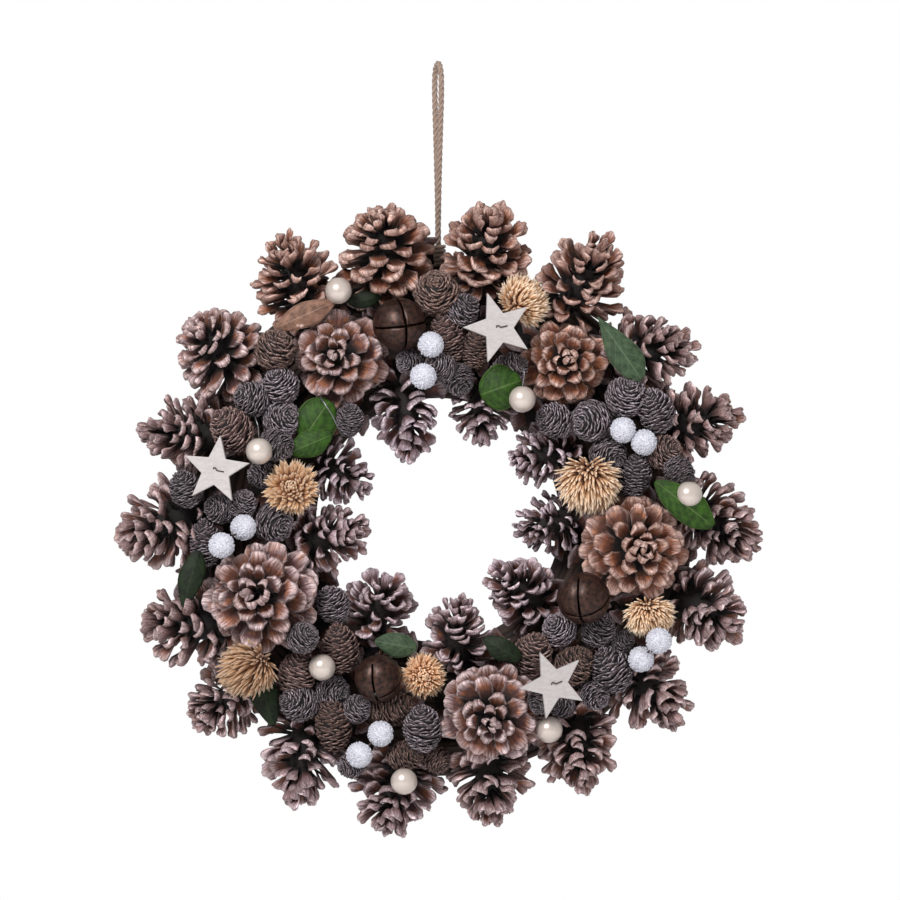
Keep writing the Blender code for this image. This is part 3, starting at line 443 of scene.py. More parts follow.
def spiralTree(name, profile):
    # profile: lists of (share from stem to tip, value) for where a piece starts and ends, and its width
    tree, add, given = geometryTree(
        name, ("Piece", "Object"), ("Core", "Object"), ("Count", "Int", 50), ("Radius", "Float", 0.03),
        ("Length", "Float", 0.05), ("Width", "Float", 0.4), ("Thickness", "Float", 1.0), ("Jitter", "Float", 0.1),
        ("Warp", "Float", 0.0005), ("Warp Scale", "Float", 60.0), ("Aged", "Float", 0.0), ("Seed", "Int", 1),
        ("Material", "Material"))
    known = dict(given, index=add("GeometryNodeInputIndex"))
    last = add("ShaderNodeMath", given["Count"], 1.0, operation="SUBTRACT")
    share = add("ShaderNodeMath", known["index"], last, operation="DIVIDE")
    for part, points in profile.items():
        known[part] = add("ShaderNodeFloatCurve", {"Value": share})
        mapping = known[part].node.mapping
        mapping.use_clip = False
        curve = mapping.curves[0]
        while len(curve.points) < len(points):
            curve.points.new(0.5, 0.5)
        for point, place in zip(curve.points, points):
            point.location = place
        mapping.update()
    for part, offset, low, high in (("stretch", 1, -1.0, 0.35), ("nod", 2, -1.2, 1.2), ("drift", 3, -0.9, 0.9),
                                    ("roll", 4, -2.2, 2.2), ("spread", 5, -1.3, 1.0), ("tint", 6, 0.0, 1.0)):
        seed = add("ShaderNodeMath", given["Seed"], offset, operation="ADD")
        known[part] = add("FunctionNodeRandomValue", {2: low, 3: high, 8: seed}, output=1)
    for result, operation, *values in (  # the sums, each with a name for its result and what it works on
            ("rootReach", "MULTIPLY", "rootReach", "Radius"), ("rootHeight", "MULTIPLY", "rootHeight", "Length"),
            ("tipReach", "MULTIPLY", "tipReach", "Radius"), ("tipHeight", "MULTIPLY", "tipHeight", "Length"),
            ("outward", "SUBTRACT", "tipReach", "rootReach"), ("upward", "SUBTRACT", "tipHeight", "rootHeight"),
            ("outwardSquare", "MULTIPLY", "outward", "outward"), ("upwardSquare", "MULTIPLY", "upward", "upward"),
            ("reach", "ADD", "outwardSquare", "upwardSquare"), ("reach", "SQRT", "reach"),
            ("stretch", "MULTIPLY", "Jitter", "stretch"), ("stretch", "ADD", 1.0, "stretch"),
            ("reach", "MULTIPLY", "reach", "stretch"), ("tilt", "ARCTAN2", "upward", "outward"),
            ("nod", "MULTIPLY", "Jitter", "nod"), ("tilt", "ADD", "tilt", "nod"), ("tilt", "MULTIPLY", "tilt", -1.0),
            ("angle", "MULTIPLY", "index", goldenAngle), ("drift", "MULTIPLY", "Jitter", "drift"),
            ("angle", "ADD", "angle", "drift"), ("roll", "MULTIPLY", "Jitter", "roll"),
            ("x", "COSINE", "angle"), ("x", "MULTIPLY", "rootReach", "x"),
            ("y", "SINE", "angle"), ("y", "MULTIPLY", "rootReach", "y"),
            ("width", "MULTIPLY", "width", "Width"), ("width", "MULTIPLY", "width", "Radius"),
            ("spread", "MULTIPLY", "Jitter", "spread"), ("spread", "ADD", 1.0, "spread"),
            ("width", "MULTIPLY", "width", "spread"), ("thickness", "MULTIPLY", "Thickness", "Radius")):
        known[result] = add("ShaderNodeMath", *(known.get(value, value) for value in values), operation=operation)
    place = add("ShaderNodeCombineXYZ", known["x"], known["y"], known["rootHeight"])
    euler = add("ShaderNodeCombineXYZ", known["roll"], known["tilt"], known["angle"])
    size = add("ShaderNodeCombineXYZ", known["reach"], known["width"], known["thickness"])
    points = add("GeometryNodePoints", {"Count": given["Count"], "Position": place})
    piece = add("GeometryNodeObjectInfo", {"Object": given["Piece"], "As Instance": True}, output="Geometry")
    laid = add("GeometryNodeInstanceOnPoints", {"Points": points, "Instance": piece, "Scale": size,
                                                "Rotation": add("FunctionNodeEulerToRotation", euler)})
    laid = add("GeometryNodeStoreNamedAttribute", {"Geometry": laid, "Name": "tint", "Value": known["tint"]},
               domain="INSTANCE")
    laid = add("GeometryNodeRealizeInstances", laid)
    shaken = add("ShaderNodeTexNoise", {"Vector": add("GeometryNodeInputPosition"), "W": given["Seed"], "Detail": 1.0,
                                        "Scale": given["Warp Scale"]}, output="Color", noise_dimensions="4D")
    offset = add("ShaderNodeVectorMath", shaken, (0.5, 0.5, 0.5), operation="SUBTRACT")
    offset = add("ShaderNodeVectorMath", {0: offset, "Scale": given["Warp"]}, operation="SCALE")
    laid = add("GeometryNodeSetPosition", {"Geometry": laid, "Offset": offset})
    core = add("GeometryNodeObjectInfo", {"Object": given["Core"]}, output="Geometry")
    coreSize = add("ShaderNodeCombineXYZ", given["Radius"], given["Radius"], given["Length"])
    core = add("GeometryNodeTransform", {"Geometry": core, "Scale": coreSize})
    both = add("GeometryNodeJoinGeometry", laid)
    tree.links.new(core, both.node.inputs[0])
    both = add("GeometryNodeStoreNamedAttribute", {"Geometry": both, "Name": "aged", "Value": given["Aged"]})
    both = add("GeometryNodeSetMaterial", {"Geometry": both, "Material": given["Material"]})
    tree.links.new(both, tree.nodes.new("NodeGroupOutput").inputs[0])
    return tree


seedMesh = bpy.data.meshes.new("seed")


def grow(tree, **values):
    # runs a tree once and returns the plain mesh; halfWidth is its input Half Width
    obj = inScene("growing", seedMesh)
    modifier = obj.modifiers.new("grow", "NODES")
    modifier.node_group = tree
    identifiers = {s.name: s.identifier for s in tree.interface.items_tree if s.in_out == "INPUT"}
    for name, value in values.items():
        modifier[identifiers["".join(" " + c if c.isupper() else c for c in name).title()]] = value
    return evaluated(obj)


def bladeObject(name, rows, columns, lift, cup, point=0.12, keel=4.0, root=0.0):
    # a closed paddle from x = 0 to 1: rows are (x, half width, thickness), columns across from -1 to 1
    # root is what the attribute "along" starts at, so how little of the dark root, painted shade on the cone scales,
    # shows
    bm = bmesh.new()
    notes = []
    sheets = []
    for side in (1, -1):
        sheet = []
        for x, half, thick in rows:
            line = []
            for v in columns:
                z = lift * x ** 3 + cup * (v * half) ** 2 + side * 0.5 * thick * (1 - 0.5 * abs(v) ** keel)
                line.append(bm.verts.new((x - point * v ** 4 * x ** 4, v * half, z)))
                notes.append((root + (1 - root) * x, v, side))
            sheet.append(line)
        sheets.append(sheet)
    top, under = sheets
    for sheet in sheets:
        for a, b in zip(sheet, sheet[1:]):
            for i in range(len(columns) - 1):
                bm.faces.new((a[i], b[i], b[i + 1], a[i + 1]))
    rim = [(r, 0) for r in range(len(rows))] + [(len(rows) - 1, c) for c in range(1, len(columns))]
    rim += [(r, len(columns) - 1) for r in range(len(rows) - 2, -1, -1)]
    rim += [(0, c) for c in range(len(columns) - 2, 0, -1)]
    for (r, c), (s, d) in zip(rim, rim[1:] + rim[:1]):
        bm.faces.new((top[r][c], top[s][d], under[s][d], under[r][c]))
    mesh = meshOf(bm, name)
    setFloats(mesh, notes, "along", "across", "side")
    return inScene(name, mesh)


def coreObject(name, profile, sides=12):
    # a closed lathed body of (radius, height) pairs; with no along attribute it takes each material's root colour,
    # which on the cones is near-black painted shade
    bm = bmesh.new()
    angles = [2 * math.pi * k / sides for k in range(sides)]
    bridge(bm, [[bm.verts.new((r * math.cos(a), r * math.sin(a), h)) for a in angles] for r, h in profile])
    return inScene(name, meshOf(bm, name))


# Pine cones

outerCones = (
    (98, 27.0, 36, 0.00, 1.03), (82, 26.5, 34, 0.05, 1.03), (62, 26.0, 42, 0.10, 1.05), (8, 23.8, 58, 0.15, 1.08),
    (12, 23.2, 70, 0.15, 1.02), (-40, 25.2, 50, 0.25, 1.05), (-28, 24.2, 48, 0.40, 1.03), (-48, 23.4, 48, 0.30, 1.06),
    (-80, 24.8, 44, 0.25, 1.05), (-86, 24.8, 50, 0.35, 0.98), (-112, 25.0, 46, 0.55, 1.05),
    (-98, 24.0, 50, 0.60, 1.06), (-140, 21.2, 52, 0.40, 1.06), (178, 24.6, 62, 0.30, 1.06),
    (-155, 25.2, 60, 0.25, 1.06), (176, 23.4, 60, 0.30, 1.06), (135, 25.0, 40, 0.15, 1.05),
    (112, 24.6, 46, 0.05, 1.04),
)  # heading of the tip, radius, lean from the front, how greyed, size against its solid
innerCones = (
    (-82, 21.0, 52, 1.00, 50, 1.36), (-88, 18.4, 56, 0.90, 62, 1.00), (190, 18.4, 52, 1.00, 66, 0.98),
    (195, 18.2, 58, 1.00, 70, 0.78), (140, 21.4, 44, 0.85, 60, 1.15), (92, 21.2, 46, 0.70, 62, 1.12),
    (70, 21.0, 38, 0.85, 60, 1.12), (10, 21.2, 46, 0.65, 66, 1.00), (-30, 18.2, 52, 0.95, 60, 0.98),
)  # heading, radius, lean, how greyed, how many scales and how wide
frontCones = (
    (150, 27.5, 8, 0.15, 46, 1.30), (60, 25.4, 5, 0.00, 46, 1.26), (-20, 30.0, 10, 0.05, 54, 1.18),
    (-100, 28.4, 10, 0.25, 48, 1.24), (150, 30.6, 10, 0.20, 54, 1.18),
)  # the same as the inner ones

pineScale = bladeObject("pineScale", [
    (0.0, 0.20, 0.06), (0.42, 0.30, 0.05), (0.70, 0.42, 0.055), (0.87, 0.50, 0.10), (0.96, 0.50, 0.12),
    (1.0, 0.43, 0.09)], (-1.0, -0.62, 0.0, 0.62, 1.0), 0.02, 0.16, 0.26)
knobScale = bladeObject("knobScale", [
    (0.0, 0.16, 0.05), (0.42, 0.22, 0.045), (0.66, 0.34, 0.07), (0.83, 0.48, 0.115), (0.94, 0.44, 0.125),
    (1.0, 0.24, 0.06)], (-1.0, -0.42, 0.42, 1.0), 0.08, 0.34, 0.05, 1.6, 0.12)
pineCore = coreObject("pineCore", [(0.02, 0.0), (0.20, 0.02), (0.32, 0.14), (0.32, 0.38), (0.21, 0.58),
                                   (0.03, 0.72)])
pineTree = spiralTree("facingPineScales", {
    "rootReach": [(0, 0.15), (1, 0.04)],
    "rootHeight": [(0, 0.06), (0.6, 0.46), (1, 0.66)],
    "tipReach": [(0, 0.88), (0.22, 1.0), (0.42, 0.94), (0.6, 0.76), (0.78, 0.50), (0.9, 0.26), (1, 0.03)],
    "tipHeight": [(0, -0.07), (0.42, 0.42), (0.78, 0.80), (1, 0.98)],
    "width": [(0, 0.85), (0.25, 1.0), (0.48, 0.92), (0.7, 0.66), (0.9, 0.40), (1, 0.22)],
})
sideTree = spiralTree("leaningPineScales", {
    "rootReach": [(0, 0.16), (1, 0.03)],
    "rootHeight": [(0, 0.05), (1, 0.74)],
    "tipReach": [(0, 0.78), (0.2, 1.0), (0.45, 0.96), (0.7, 0.76), (0.88, 0.50), (1, 0.24)],
    "tipHeight": [(0, -0.04), (0.25, 0.28), (0.5, 0.56), (0.8, 0.88), (1, 1.08)],
    "width": [(0, 0.8), (0.3, 1.0), (0.7, 0.88), (1, 0.55)],
})
coneLook = {"thickness": 1.0, "warp": 0.0045, "warpScale": 75.0}
facingLook = {"piece": pineScale, "core": pineCore, "jitter": 0.15, **coneLook}
leaningLook = {"piece": knobScale, "core": pineCore, "jitter": 0.28, **coneLook}
coneSet = {"height": 1.86, "facingWidth": 0.42, "leaningWidth": 0.35, "facingScales": 64, "leaningScales": 76,
           "redOnes": ("outer_cone_01", "outer_cone_02", "outer_cone_03", "outer_cone_18", "front_cone_2",
                       "front_cone_3"), "facingOuters": (0, 16)}  # height in radii; these outer ones face us
outerSet = {"moreLean": 10, "turn": 37, "stretch": 0.98, "inward": 3.4, "seed": 11}
innerSet = {"moreLean": 12, "turn": 53, "stretch": 0.95, "inward": 0.0, "seed": 41}
frontSet = {"moreLean": 0, "turn": 71, "stretch": 0.85, "inward": 0.0, "seed": 71}


def placeInBox(mesh, turn, node, ratio=None, size=1.0, inward=0.0):
    # turns the grown piece as its solid is, then fits it to the middle of the solid's box
    mesh.transform(turn.to_4x4())
    low, high = meshBox(mesh)
    cadLow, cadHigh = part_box(node)
    if ratio is None:
        ratio = sorted((cadHigh[i] - cadLow[i]) / (high[i] - low[i]) for i in range(3))[1] * size
    middleNow, middleWanted = (low + high) / 2, (cadLow + cadHigh) / 2
    outward = Vector((middleWanted.x - wreathMiddle.x, 0, middleWanted.z - wreathMiddle.z)).normalized()
    middleWanted -= outward * inward * mm
    mesh.transform(Matrix.Translation(middleWanted) @ Matrix.Scale(ratio, 4) @ Matrix.Translation(-middleNow))


def pineCone(node, number, kind, row, facingUs, count=None, width=1.0, size=1.0):
    heading, radius, lean, aged = row
    count = count or coneSet["facingScales" if facingUs else "leaningScales"]
    width *= coneSet["facingWidth" if facingUs else "leaningWidth"]
    red = node in coneSet["redOnes"]
    mesh = grow(pineTree if facingUs else sideTree, **(facingLook if facingUs else leaningLook), count=count,
                width=width, radius=radius * mm, length=radius * coneSet["height"] * kind["stretch"] * mm, aged=aged,
                seed=kind["seed"] + number, material=redPineWood if red else pineWood)
    turn = turned(heading, lean + kind["moreLean"], kind["turn"] * number)
    placeInBox(mesh, turn, node, None, size, kind["inward"])
    makePiece(node + "_scales", mesh, (), (node,), "red_pine_cone" if red else "pine_cone")


for i, (*row, size) in enumerate(outerCones):
    pineCone(f"outer_cone_{i + 1:02d}", i, outerSet, row, i in coneSet["facingOuters"], size=size)
for i, (*row, scales, width) in enumerate(innerCones):
    pineCone(f"inner_cone_{i + 1}", i, innerSet, row, False, scales, width)
for i, (*row, scales, width) in enumerate(frontCones):
    pineCone(f"front_cone_{i + 1}", i, frontSet, row, True, scales, width)
print("pine cones grown")


# Alder cones, five sprays of them

alderSprays = (
    ((-0.6, 128.3, 11.2, 24, 90, 60), (13.6, 118.6, 8.2, 19, 40, 30), (5.1, 103.4, 8.8, 26, 100, 10),
     (21.5, 97.2, 7.6, 21, 80, 15), (-15.8, 89.8, 6.6, 15, 170, 50), (11.3, 80.2, 7.6, 18, -60, 30),
     (1.1, 86.8, 7.4, 17, 150, 40), (40.5, 86.0, 7.4, 19, 20, 20)),
    ((-91.5, 96.6, 9.8, 21, 60, 35), (-88.7, 76.3, 9.2, 20, 110, 40), (-104.5, 68.9, 8.6, 19, 160, 30),
     (-88.1, 57.6, 9.2, 20, 20, 50), (-115.8, 51.4, 10.2, 25, 130, 25), (-90.4, 43.0, 8.0, 18, -30, 30),
     (-98.9, 26.6, 7.0, 16, 200, 30), (-141.8, 18.1, 8.0, 19, 110, 20), (-122.6, 6.8, 7.2, 17, 160, 30),
     (-131.1, -12.4, 7.9, 24, 95, 10), (-92.7, -1.1, 9.6, 21, -20, 50), (-109.9, 9.6, 6.8, 16, 60, 40),
     (-49.7, 57.0, 7.0, 17, 80, 30)),
    ((106.2, 70.1, 10.2, 22, 70, 50), (122.6, 62.1, 9.0, 24, 110, 25), (86.4, 56.5, 10.0, 21, 190, 50),
     (66.1, 56.5, 8.5, 21, 150, 30), (96.0, 37.3, 9.0, 20, -40, 50), (111.3, 26.0, 8.0, 23, 80, 20),
     (127.1, 39.0, 8.5, 19, 20, 40), (135.6, 27.1, 7.4, 18, -60, 20)),
    ((-59.3, -46.9, 8.2, 20, 110, 25), (-75.7, -65.0, 7.6, 17, 30, 40), (-54.8, -71.8, 9.0, 26, 100, 15),
     (-79.1, -85.3, 9.4, 24, 70, 20), (-78.0, -102.3, 9.0, 20, 160, 40), (-58.8, -95.5, 7.6, 18, -20, 40),
     (-58.8, -114.7, 9.0, 27, 95, 10), (-45.8, -105.7, 7.0, 16, 40, 40), (-48.6, -137.3, 6.4, 15, 200, 30),
     (-25.4, -105.7, 8.6, 23, 10, 15), (-8.5, -116.4, 9.4, 24, 90, 20), (-18.1, -131.6, 7.4, 19, 20, 20),
     (-1.1, -133.9, 6.8, 16, -40, 30)),
    ((68.4, -61.0, 8.5, 18, 130, 50), (90.4, -61.0, 8.6, 19, 60, 40), (53.1, -75.1, 9.6, 23, 70, 25),
     (76.3, -81.4, 9.2, 23, 40, 25), (97.7, -83.6, 9.6, 25, 120, 20), (88.1, -97.7, 7.4, 17, -50, 40),
     (70.1, -104.0, 6.4, 14, 160, 50), (103.4, -67.6, 5.8, 14, 30, 30), (58.2, -99.4, 6.8, 16, -120, 30)),
)  # x, z, radius, length, heading of the tip, degrees that the tip stands out
alderScale = bladeObject("alderScale", [(0.0, 0.30, 0.12), (1.0, 0.50, 0.22)], (-1.0, 0.0, 1.0), 0.06, 0.12, 0.25)
alderCore = coreObject("alderCore", [(0.10, -0.50), (0.55, -0.40), (0.86, -0.16), (0.90, 0.06), (0.72, 0.28),
                                     (0.36, 0.44), (0.06, 0.50)])
alderTree = spiralTree("alderConeScales", {
    "rootReach": [(0, 0.12), (0.2, 0.55), (0.5, 0.72), (0.8, 0.42), (1, 0.02)],
    "rootHeight": [(0, -0.42), (0.5, -0.06), (1, 0.36)],
    "tipReach": [(0, 0.34), (0.15, 0.84), (0.5, 1.08), (0.8, 0.78), (0.95, 0.32), (1, 0.10)],
    "tipHeight": [(0, -0.50), (0.5, 0.04), (1, 0.55)],
    "width": [(0, 0.6), (0.4, 1.0), (0.75, 0.85), (1, 0.35)],
})
alderSet = {"swell": 1.12, "turn": 40, "stemStart": 0.4}
alderLook = {"piece": alderScale, "core": alderCore, "count": 230, "width": 0.58, "thickness": 0.45, "jitter": 0.14,
             "warp": 0.0016, "warpScale": 220.0}
redAlders = ((0, 0), (0, 2), (0, 3), (1, 0), (1, 4), (2, 6), (3, 2), (3, 3), (3, 6), (3, 9), (3, 11), (3, 12),
             (4, 2), (4, 3))  # (spray, row) of the fresher ones
stems = []  # (start, end) of the wires that tie beads and small pieces to the ring
backward = Vector((0, mm, 0))  # one millimetre toward the wall
for spray, rows in enumerate(alderSprays):
    node = f"alder_spray_{spray + 1}"
    laid = []
    for i, (x, z, radius, length, heading, stands) in enumerate(rows):
        turn = turned(heading, 90 - stands, alderSet["turn"] * i)
        axis = turn @ Vector((0, 0, 1))
        half = math.sqrt(radius ** 2 * (1 - axis.y ** 2) + (length / 2) ** 2 * axis.y ** 2)
        at = seated(node, x, z, half)
        mesh = grow(alderTree, **alderLook, radius=radius * alderSet["swell"] * mm, seed=100 * spray + i,
                    length=length * alderSet["swell"] * mm, aged=((i * 7 + spray) % 5) / 6,  # five greys, mixed
                    material=redAlderWood if (spray, i) in redAlders else alderWood)
        laid.append((mesh, placement(at, turn)))
        stems.append((at - axis * length * alderSet["stemStart"] * mm, at))
    makePiece(f"alder_cones_{spray + 1}", joinMeshes("alder cones", *laid), (), (node,), "alder_cone")
print("alder cones grown")


# Frosted berries and pearls

frostedPairs = (
    (0, (-4.0, 99.2), (-8.2, 81.4)), (2, (104.0, 51.3), (115.7, 44.4)), (4, (123.7, -66.7), (114.1, -77.4)),
    (3, (-32.2, -119.2), (-44.2, -131.1)), (1, (-109.2, -3.4), (-121.0, -13.3)),
)
grainPiece = bladeObject("frostGrain", [(0.0, 0.34, 0.6), (0.6, 0.50, 0.9), (1.0, 0.26, 0.5)], (-1.0, 0.0, 1.0),
                         0.0, 0.0)
berryCore = coreObject("berryCore", [(0.30, -0.90), (0.66, -0.66), (0.88, -0.30), (0.93, 0.0), (0.88, 0.30),
                                     (0.66, 0.66), (0.30, 0.90)], 16)
ballCurve = [(i / 8, math.sqrt(max(0.0, 1 - (2 * i / 8 - 1) ** 2))) for i in range(9)]
frostTree = spiralTree("frostGrains", {
    "rootReach": [(a, 0.86 * b) for a, b in ballCurve], "rootHeight": [(0, -0.86), (1, 0.86)],
    "tipReach": [(a, 1.0 * b) for a, b in ballCurve], "tipHeight": [(0, -1.0), (1, 1.0)],
    "width": [(0, 1.0), (1, 1.0)],
})
berrySet = {"radius": 7.4, "grown": 1.02, "turn": 40, "lean": 30, "wireBack": 20.0}
berryLook = {"piece": grainPiece, "core": berryCore, "count": 300, "width": 0.16, "thickness": 0.15, "jitter": 0.25,
             "warp": 0.0006, "warpScale": 300.0, "aged": 0.0, "material": sugarFrost}
laid = []
for spray, *ends in frostedPairs:
    centres = [seated(f"alder_spray_{spray + 1}", x, z, berrySet["radius"]) for x, z in ends]
    for i, at in enumerate(centres):
        size = berrySet["radius"] * berrySet["grown"] * mm
        mesh = grow(frostTree, **berryLook, radius=size, length=size, seed=31 * spray + i)
        laid.append((mesh, placement(at, turned(berrySet["turn"] * i, berrySet["lean"]))))
        stems.append((at, at + backward * berrySet["wireBack"]))
    stems.append(tuple(centres))
makePiece("frosted_berries", joinMeshes("frosted berries", *laid))

pearlSet = {"radius": 7.5, "segments": 40, "rings": 24, "drilled": 0.975, "sunk": 0.06, "wireBack": 20.0}
pearls = (("alder_spray_1", 47.3, 68.6), ("alder_spray_2", -100.2, 39.4), ("alder_spray_4", -19.0, -145.8),
          ("alder_spray_4", -65.0, -81.8), ("alder_spray_5", 62.4, -116.6), ("leaf_4", 140.7, 15.1),
          ("leaf_5", -55.8, 129.6))
bm = bmesh.new()
for node, x, z in pearls:
    at = seated(node, x, z, pearlSet["radius"])
    made = bmesh.ops.create_uvsphere(bm, u_segments=pearlSet["segments"], v_segments=pearlSet["rings"],
                                     radius=pearlSet["radius"] * mm)
    for vert in made["verts"]:  # the drilled end sinks a little
        depth = max(0.0, vert.co.normalized().z - pearlSet["drilled"]) / (1 - pearlSet["drilled"])
        vert.co *= 1 - pearlSet["sunk"] * depth
    bmesh.ops.transform(bm, matrix=Matrix.Translation(at), verts=made["verts"])
    stems.append((at, at + backward * pearlSet["wireBack"]))
makePiece("pearls", meshOf(bm, "pearls"), (pearlLacquer,))
print("berries and pearls made")


# Jingle bells: a pinched hollow ball with two crossed slits, on a wire eye

bellSet = {"wall": 0.9, "slit": 1.3, "slitEnd": 98, "pinch": 0.05, "backEnd": 176, "lobeRows": 18, "backRows": 10,
           "columns": 12, "seamAt": 104, "seam": 0.022, "seamWidth": 2.5, "flat": 0.97, "slitStart": 0.75,
           "slitTaper": 0.55, "lipPower": 6, "lipRows": 5, "sharp": 40, "eyeWire": 0.8, "eyeOut": 1.6,
           "eyeWide": 2.4, "eyeHigh": 2.2, "wireOut": 3.0, "wireBack": 30.0}  # mm, degrees and shares of the radius
bells = ((-21.5, 110.7, 15.0, -20, 16, 8), (81.4, -42.9, 15.0, -100, 46, 4), (-33.3, -88.1, 13.6, -95, 58, 8))


def bellMesh(name, radius):
    lobeRows, backRows, columns = bellSet["lobeRows"], bellSet["backRows"], bellSet["columns"]
    startAngle, slitEnd = math.asin(bellSet["slit"] * bellSet["slitStart"] / radius), math.radians(bellSet["slitEnd"])
    bm = bmesh.new()
    rows = []
    for r in range(lobeRows + backRows):
        if r < lobeRows:  # four lobes with a slit between each two
            theta = startAngle + (slitEnd - startAngle) * r / (lobeRows - 1)
            edge = math.asin(min(0.999, 0.5 * bellSet["slit"] / (radius * math.sin(theta))))
            edge *= bellSet["slitTaper"] if r == lobeRows - 1 else 1.0
        else:  # the whole back half
            theta = slitEnd + (math.radians(bellSet["backEnd"]) - slitEnd) * (r - lobeRows + 1) / backRows
            edge = 0.0
        fromSeam = (math.degrees(theta) - bellSet["seamAt"]) / bellSet["seamWidth"]
        seam = 1 + bellSet["seam"] * math.exp(-fromSeam ** 2)
        ring = []
        for lobe in range(4):
            for c in range(columns + (r < lobeRows)):
                phi = math.pi / 2 * lobe + edge + (math.pi / 2 - 2 * edge) * c / columns
                nearSlit = abs(2 * c / columns - 1) ** bellSet["lipPower"] if r < lobeRows else 0.0
                dent = 1 - bellSet["pinch"] * nearSlit * min(1.0, (lobeRows - r) / bellSet["lipRows"])
                reach = radius * dent * seam * mm
                ring.append(bm.verts.new((reach * math.sin(theta) * math.cos(phi),
                                          reach * math.sin(theta) * math.sin(phi),
                                          reach * bellSet["flat"] * math.cos(theta))))
        rows.append(ring)
    wide = columns + 1
    for a, b in zip(rows[:lobeRows], rows[1:lobeRows]):
        for k in (lobe * wide + c for lobe in range(4) for c in range(columns)):
            bm.faces.new((a[k], a[k + 1], b[k + 1], b[k]))
    last, back = rows[lobeRows - 1], rows[lobeRows]
    for lobe in range(4):
        for c in range(columns):
            k, b = lobe * wide + c, lobe * columns + c
            bm.faces.new((last[k], last[k + 1], back[(b + 1) % len(back)], back[b]))
        bm.faces.new((last[lobe * wide - 1], last[lobe * wide], back[lobe * columns]))
    bridge(bm, rows[lobeRows:], False)
    bm.faces.new(rows[-1])
    shell = thickened(meshOf(bm, name), bellSet["wall"], -1)
    shell.shade_smooth()
    shell.set_sharp_from_angle(angle=math.radians(bellSet["sharp"]))
    return shell


for i, (x, z, radius, heading, lean, turn) in enumerate(bells):
    node = f"bell_{i + 1}"
    pose = turned(heading, lean, turn)
    at = seated(node, x, z, radius * bellSet["flat"], (-4, 4))
    bm = bmesh.new()
    middle = -radius - bellSet["eyeOut"]
    loop = [Vector((0, -bellSet["eyeWide"] * math.cos(a), middle - bellSet["eyeHigh"] * math.sin(a))) * mm
            for a in (math.pi * k / 10 for k in range(-2, 13))]
    tubeInto(bm, loop, bellSet["eyeWire"] * mm, 8)
    mesh = joinMeshes(node, bellMesh(node, radius), meshOf(bm, "eye"))
    mesh.transform(placement(at, pose))
    makePiece(node + "_shell", mesh, (rustySteel,), (node,), "rusty_steel")
    pellet = cadNodes[f"bell_pellet_{i + 1}"].data
    pellet.materials.clear()
    pellet.materials.append(pelletSteel)
    eye = at + pose @ Vector((0, 0, -radius - bellSet["wireOut"])) * mm
    stems.append((eye, at + backward * bellSet["wireBack"]))
print("bells made")


# Wooden stars with a wire staple

starSet = {"thickness": 2.6, "inner": 0.42, "bevel": 0.35, "staple": 0.36, "wireBack": 30.0}
stars = ((33.9, 108.5, 20.5, 18, 20, 12), (-124.3, 28.8, 19.8, -7, 160, 12), (64.4, -90.4, 19.8, 24, -20, 16))
up = 0.5 * starSet["thickness"]
staplePath = ((-1.2, 0.6, -4), (-1.3, 0.6, up + 0.1), (-0.9, 1.3, up + 0.6), (0.2, 1.1, up + 0.6),
              (0.5, 0.1, up + 0.5), (2.0, -0.3, up + 0.4), (4.8, -0.5, up + 0.2), (5.2, -0.5, -4))
for i, (x, z, radius, turn, heading, tilt) in enumerate(stars):
    node = f"wooden_star_{i + 1}"
    bm = bmesh.new()
    outline = []
    for k in range(10):
        reach, a = radius * (starSet["inner"] if k % 2 else 1.0) * mm, math.radians(90 + 36 * k)
        outline.append(bm.verts.new((reach * math.cos(a), reach * math.sin(a), -up * mm)))
    raised = bmesh.ops.extrude_face_region(bm, geom=[bm.faces.new(outline)])["geom"]
    bmesh.ops.translate(bm, vec=(0, 0, 2 * up * mm), verts=[v for v in raised if isinstance(v, bmesh.types.BMVert)])
    bmesh.ops.recalc_face_normals(bm, faces=bm.faces)
    bmesh.ops.bevel(bm, geom=list(bm.edges), offset=starSet["bevel"] * mm, segments=2, affect="EDGES", profile=0.5)
    wood = meshOf(bm, node, False)
    wood.materials.append(whiteWood)
    bm = bmesh.new()
    tubeInto(bm, [Vector(point) * mm for point in staplePath], starSet["staple"] * mm, 8)
    staple = meshOf(bm, "staple")
    staple.materials.append(bindingWire)
    mesh = joinMeshes(node, wood, staple)
    at = Vector((x * mm, sum(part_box(node), Vector()).y / 2, z * mm + wreathMiddle.z))
    mesh.transform(placement(at, facing(turn, heading, tilt)))
    makePiece(node + "_wood", mesh, (), (node,), "white_wood")
    stems.append((at, at + backward * starSet["wireBack"]))
print("stars made")


# Bristly dried flower heads

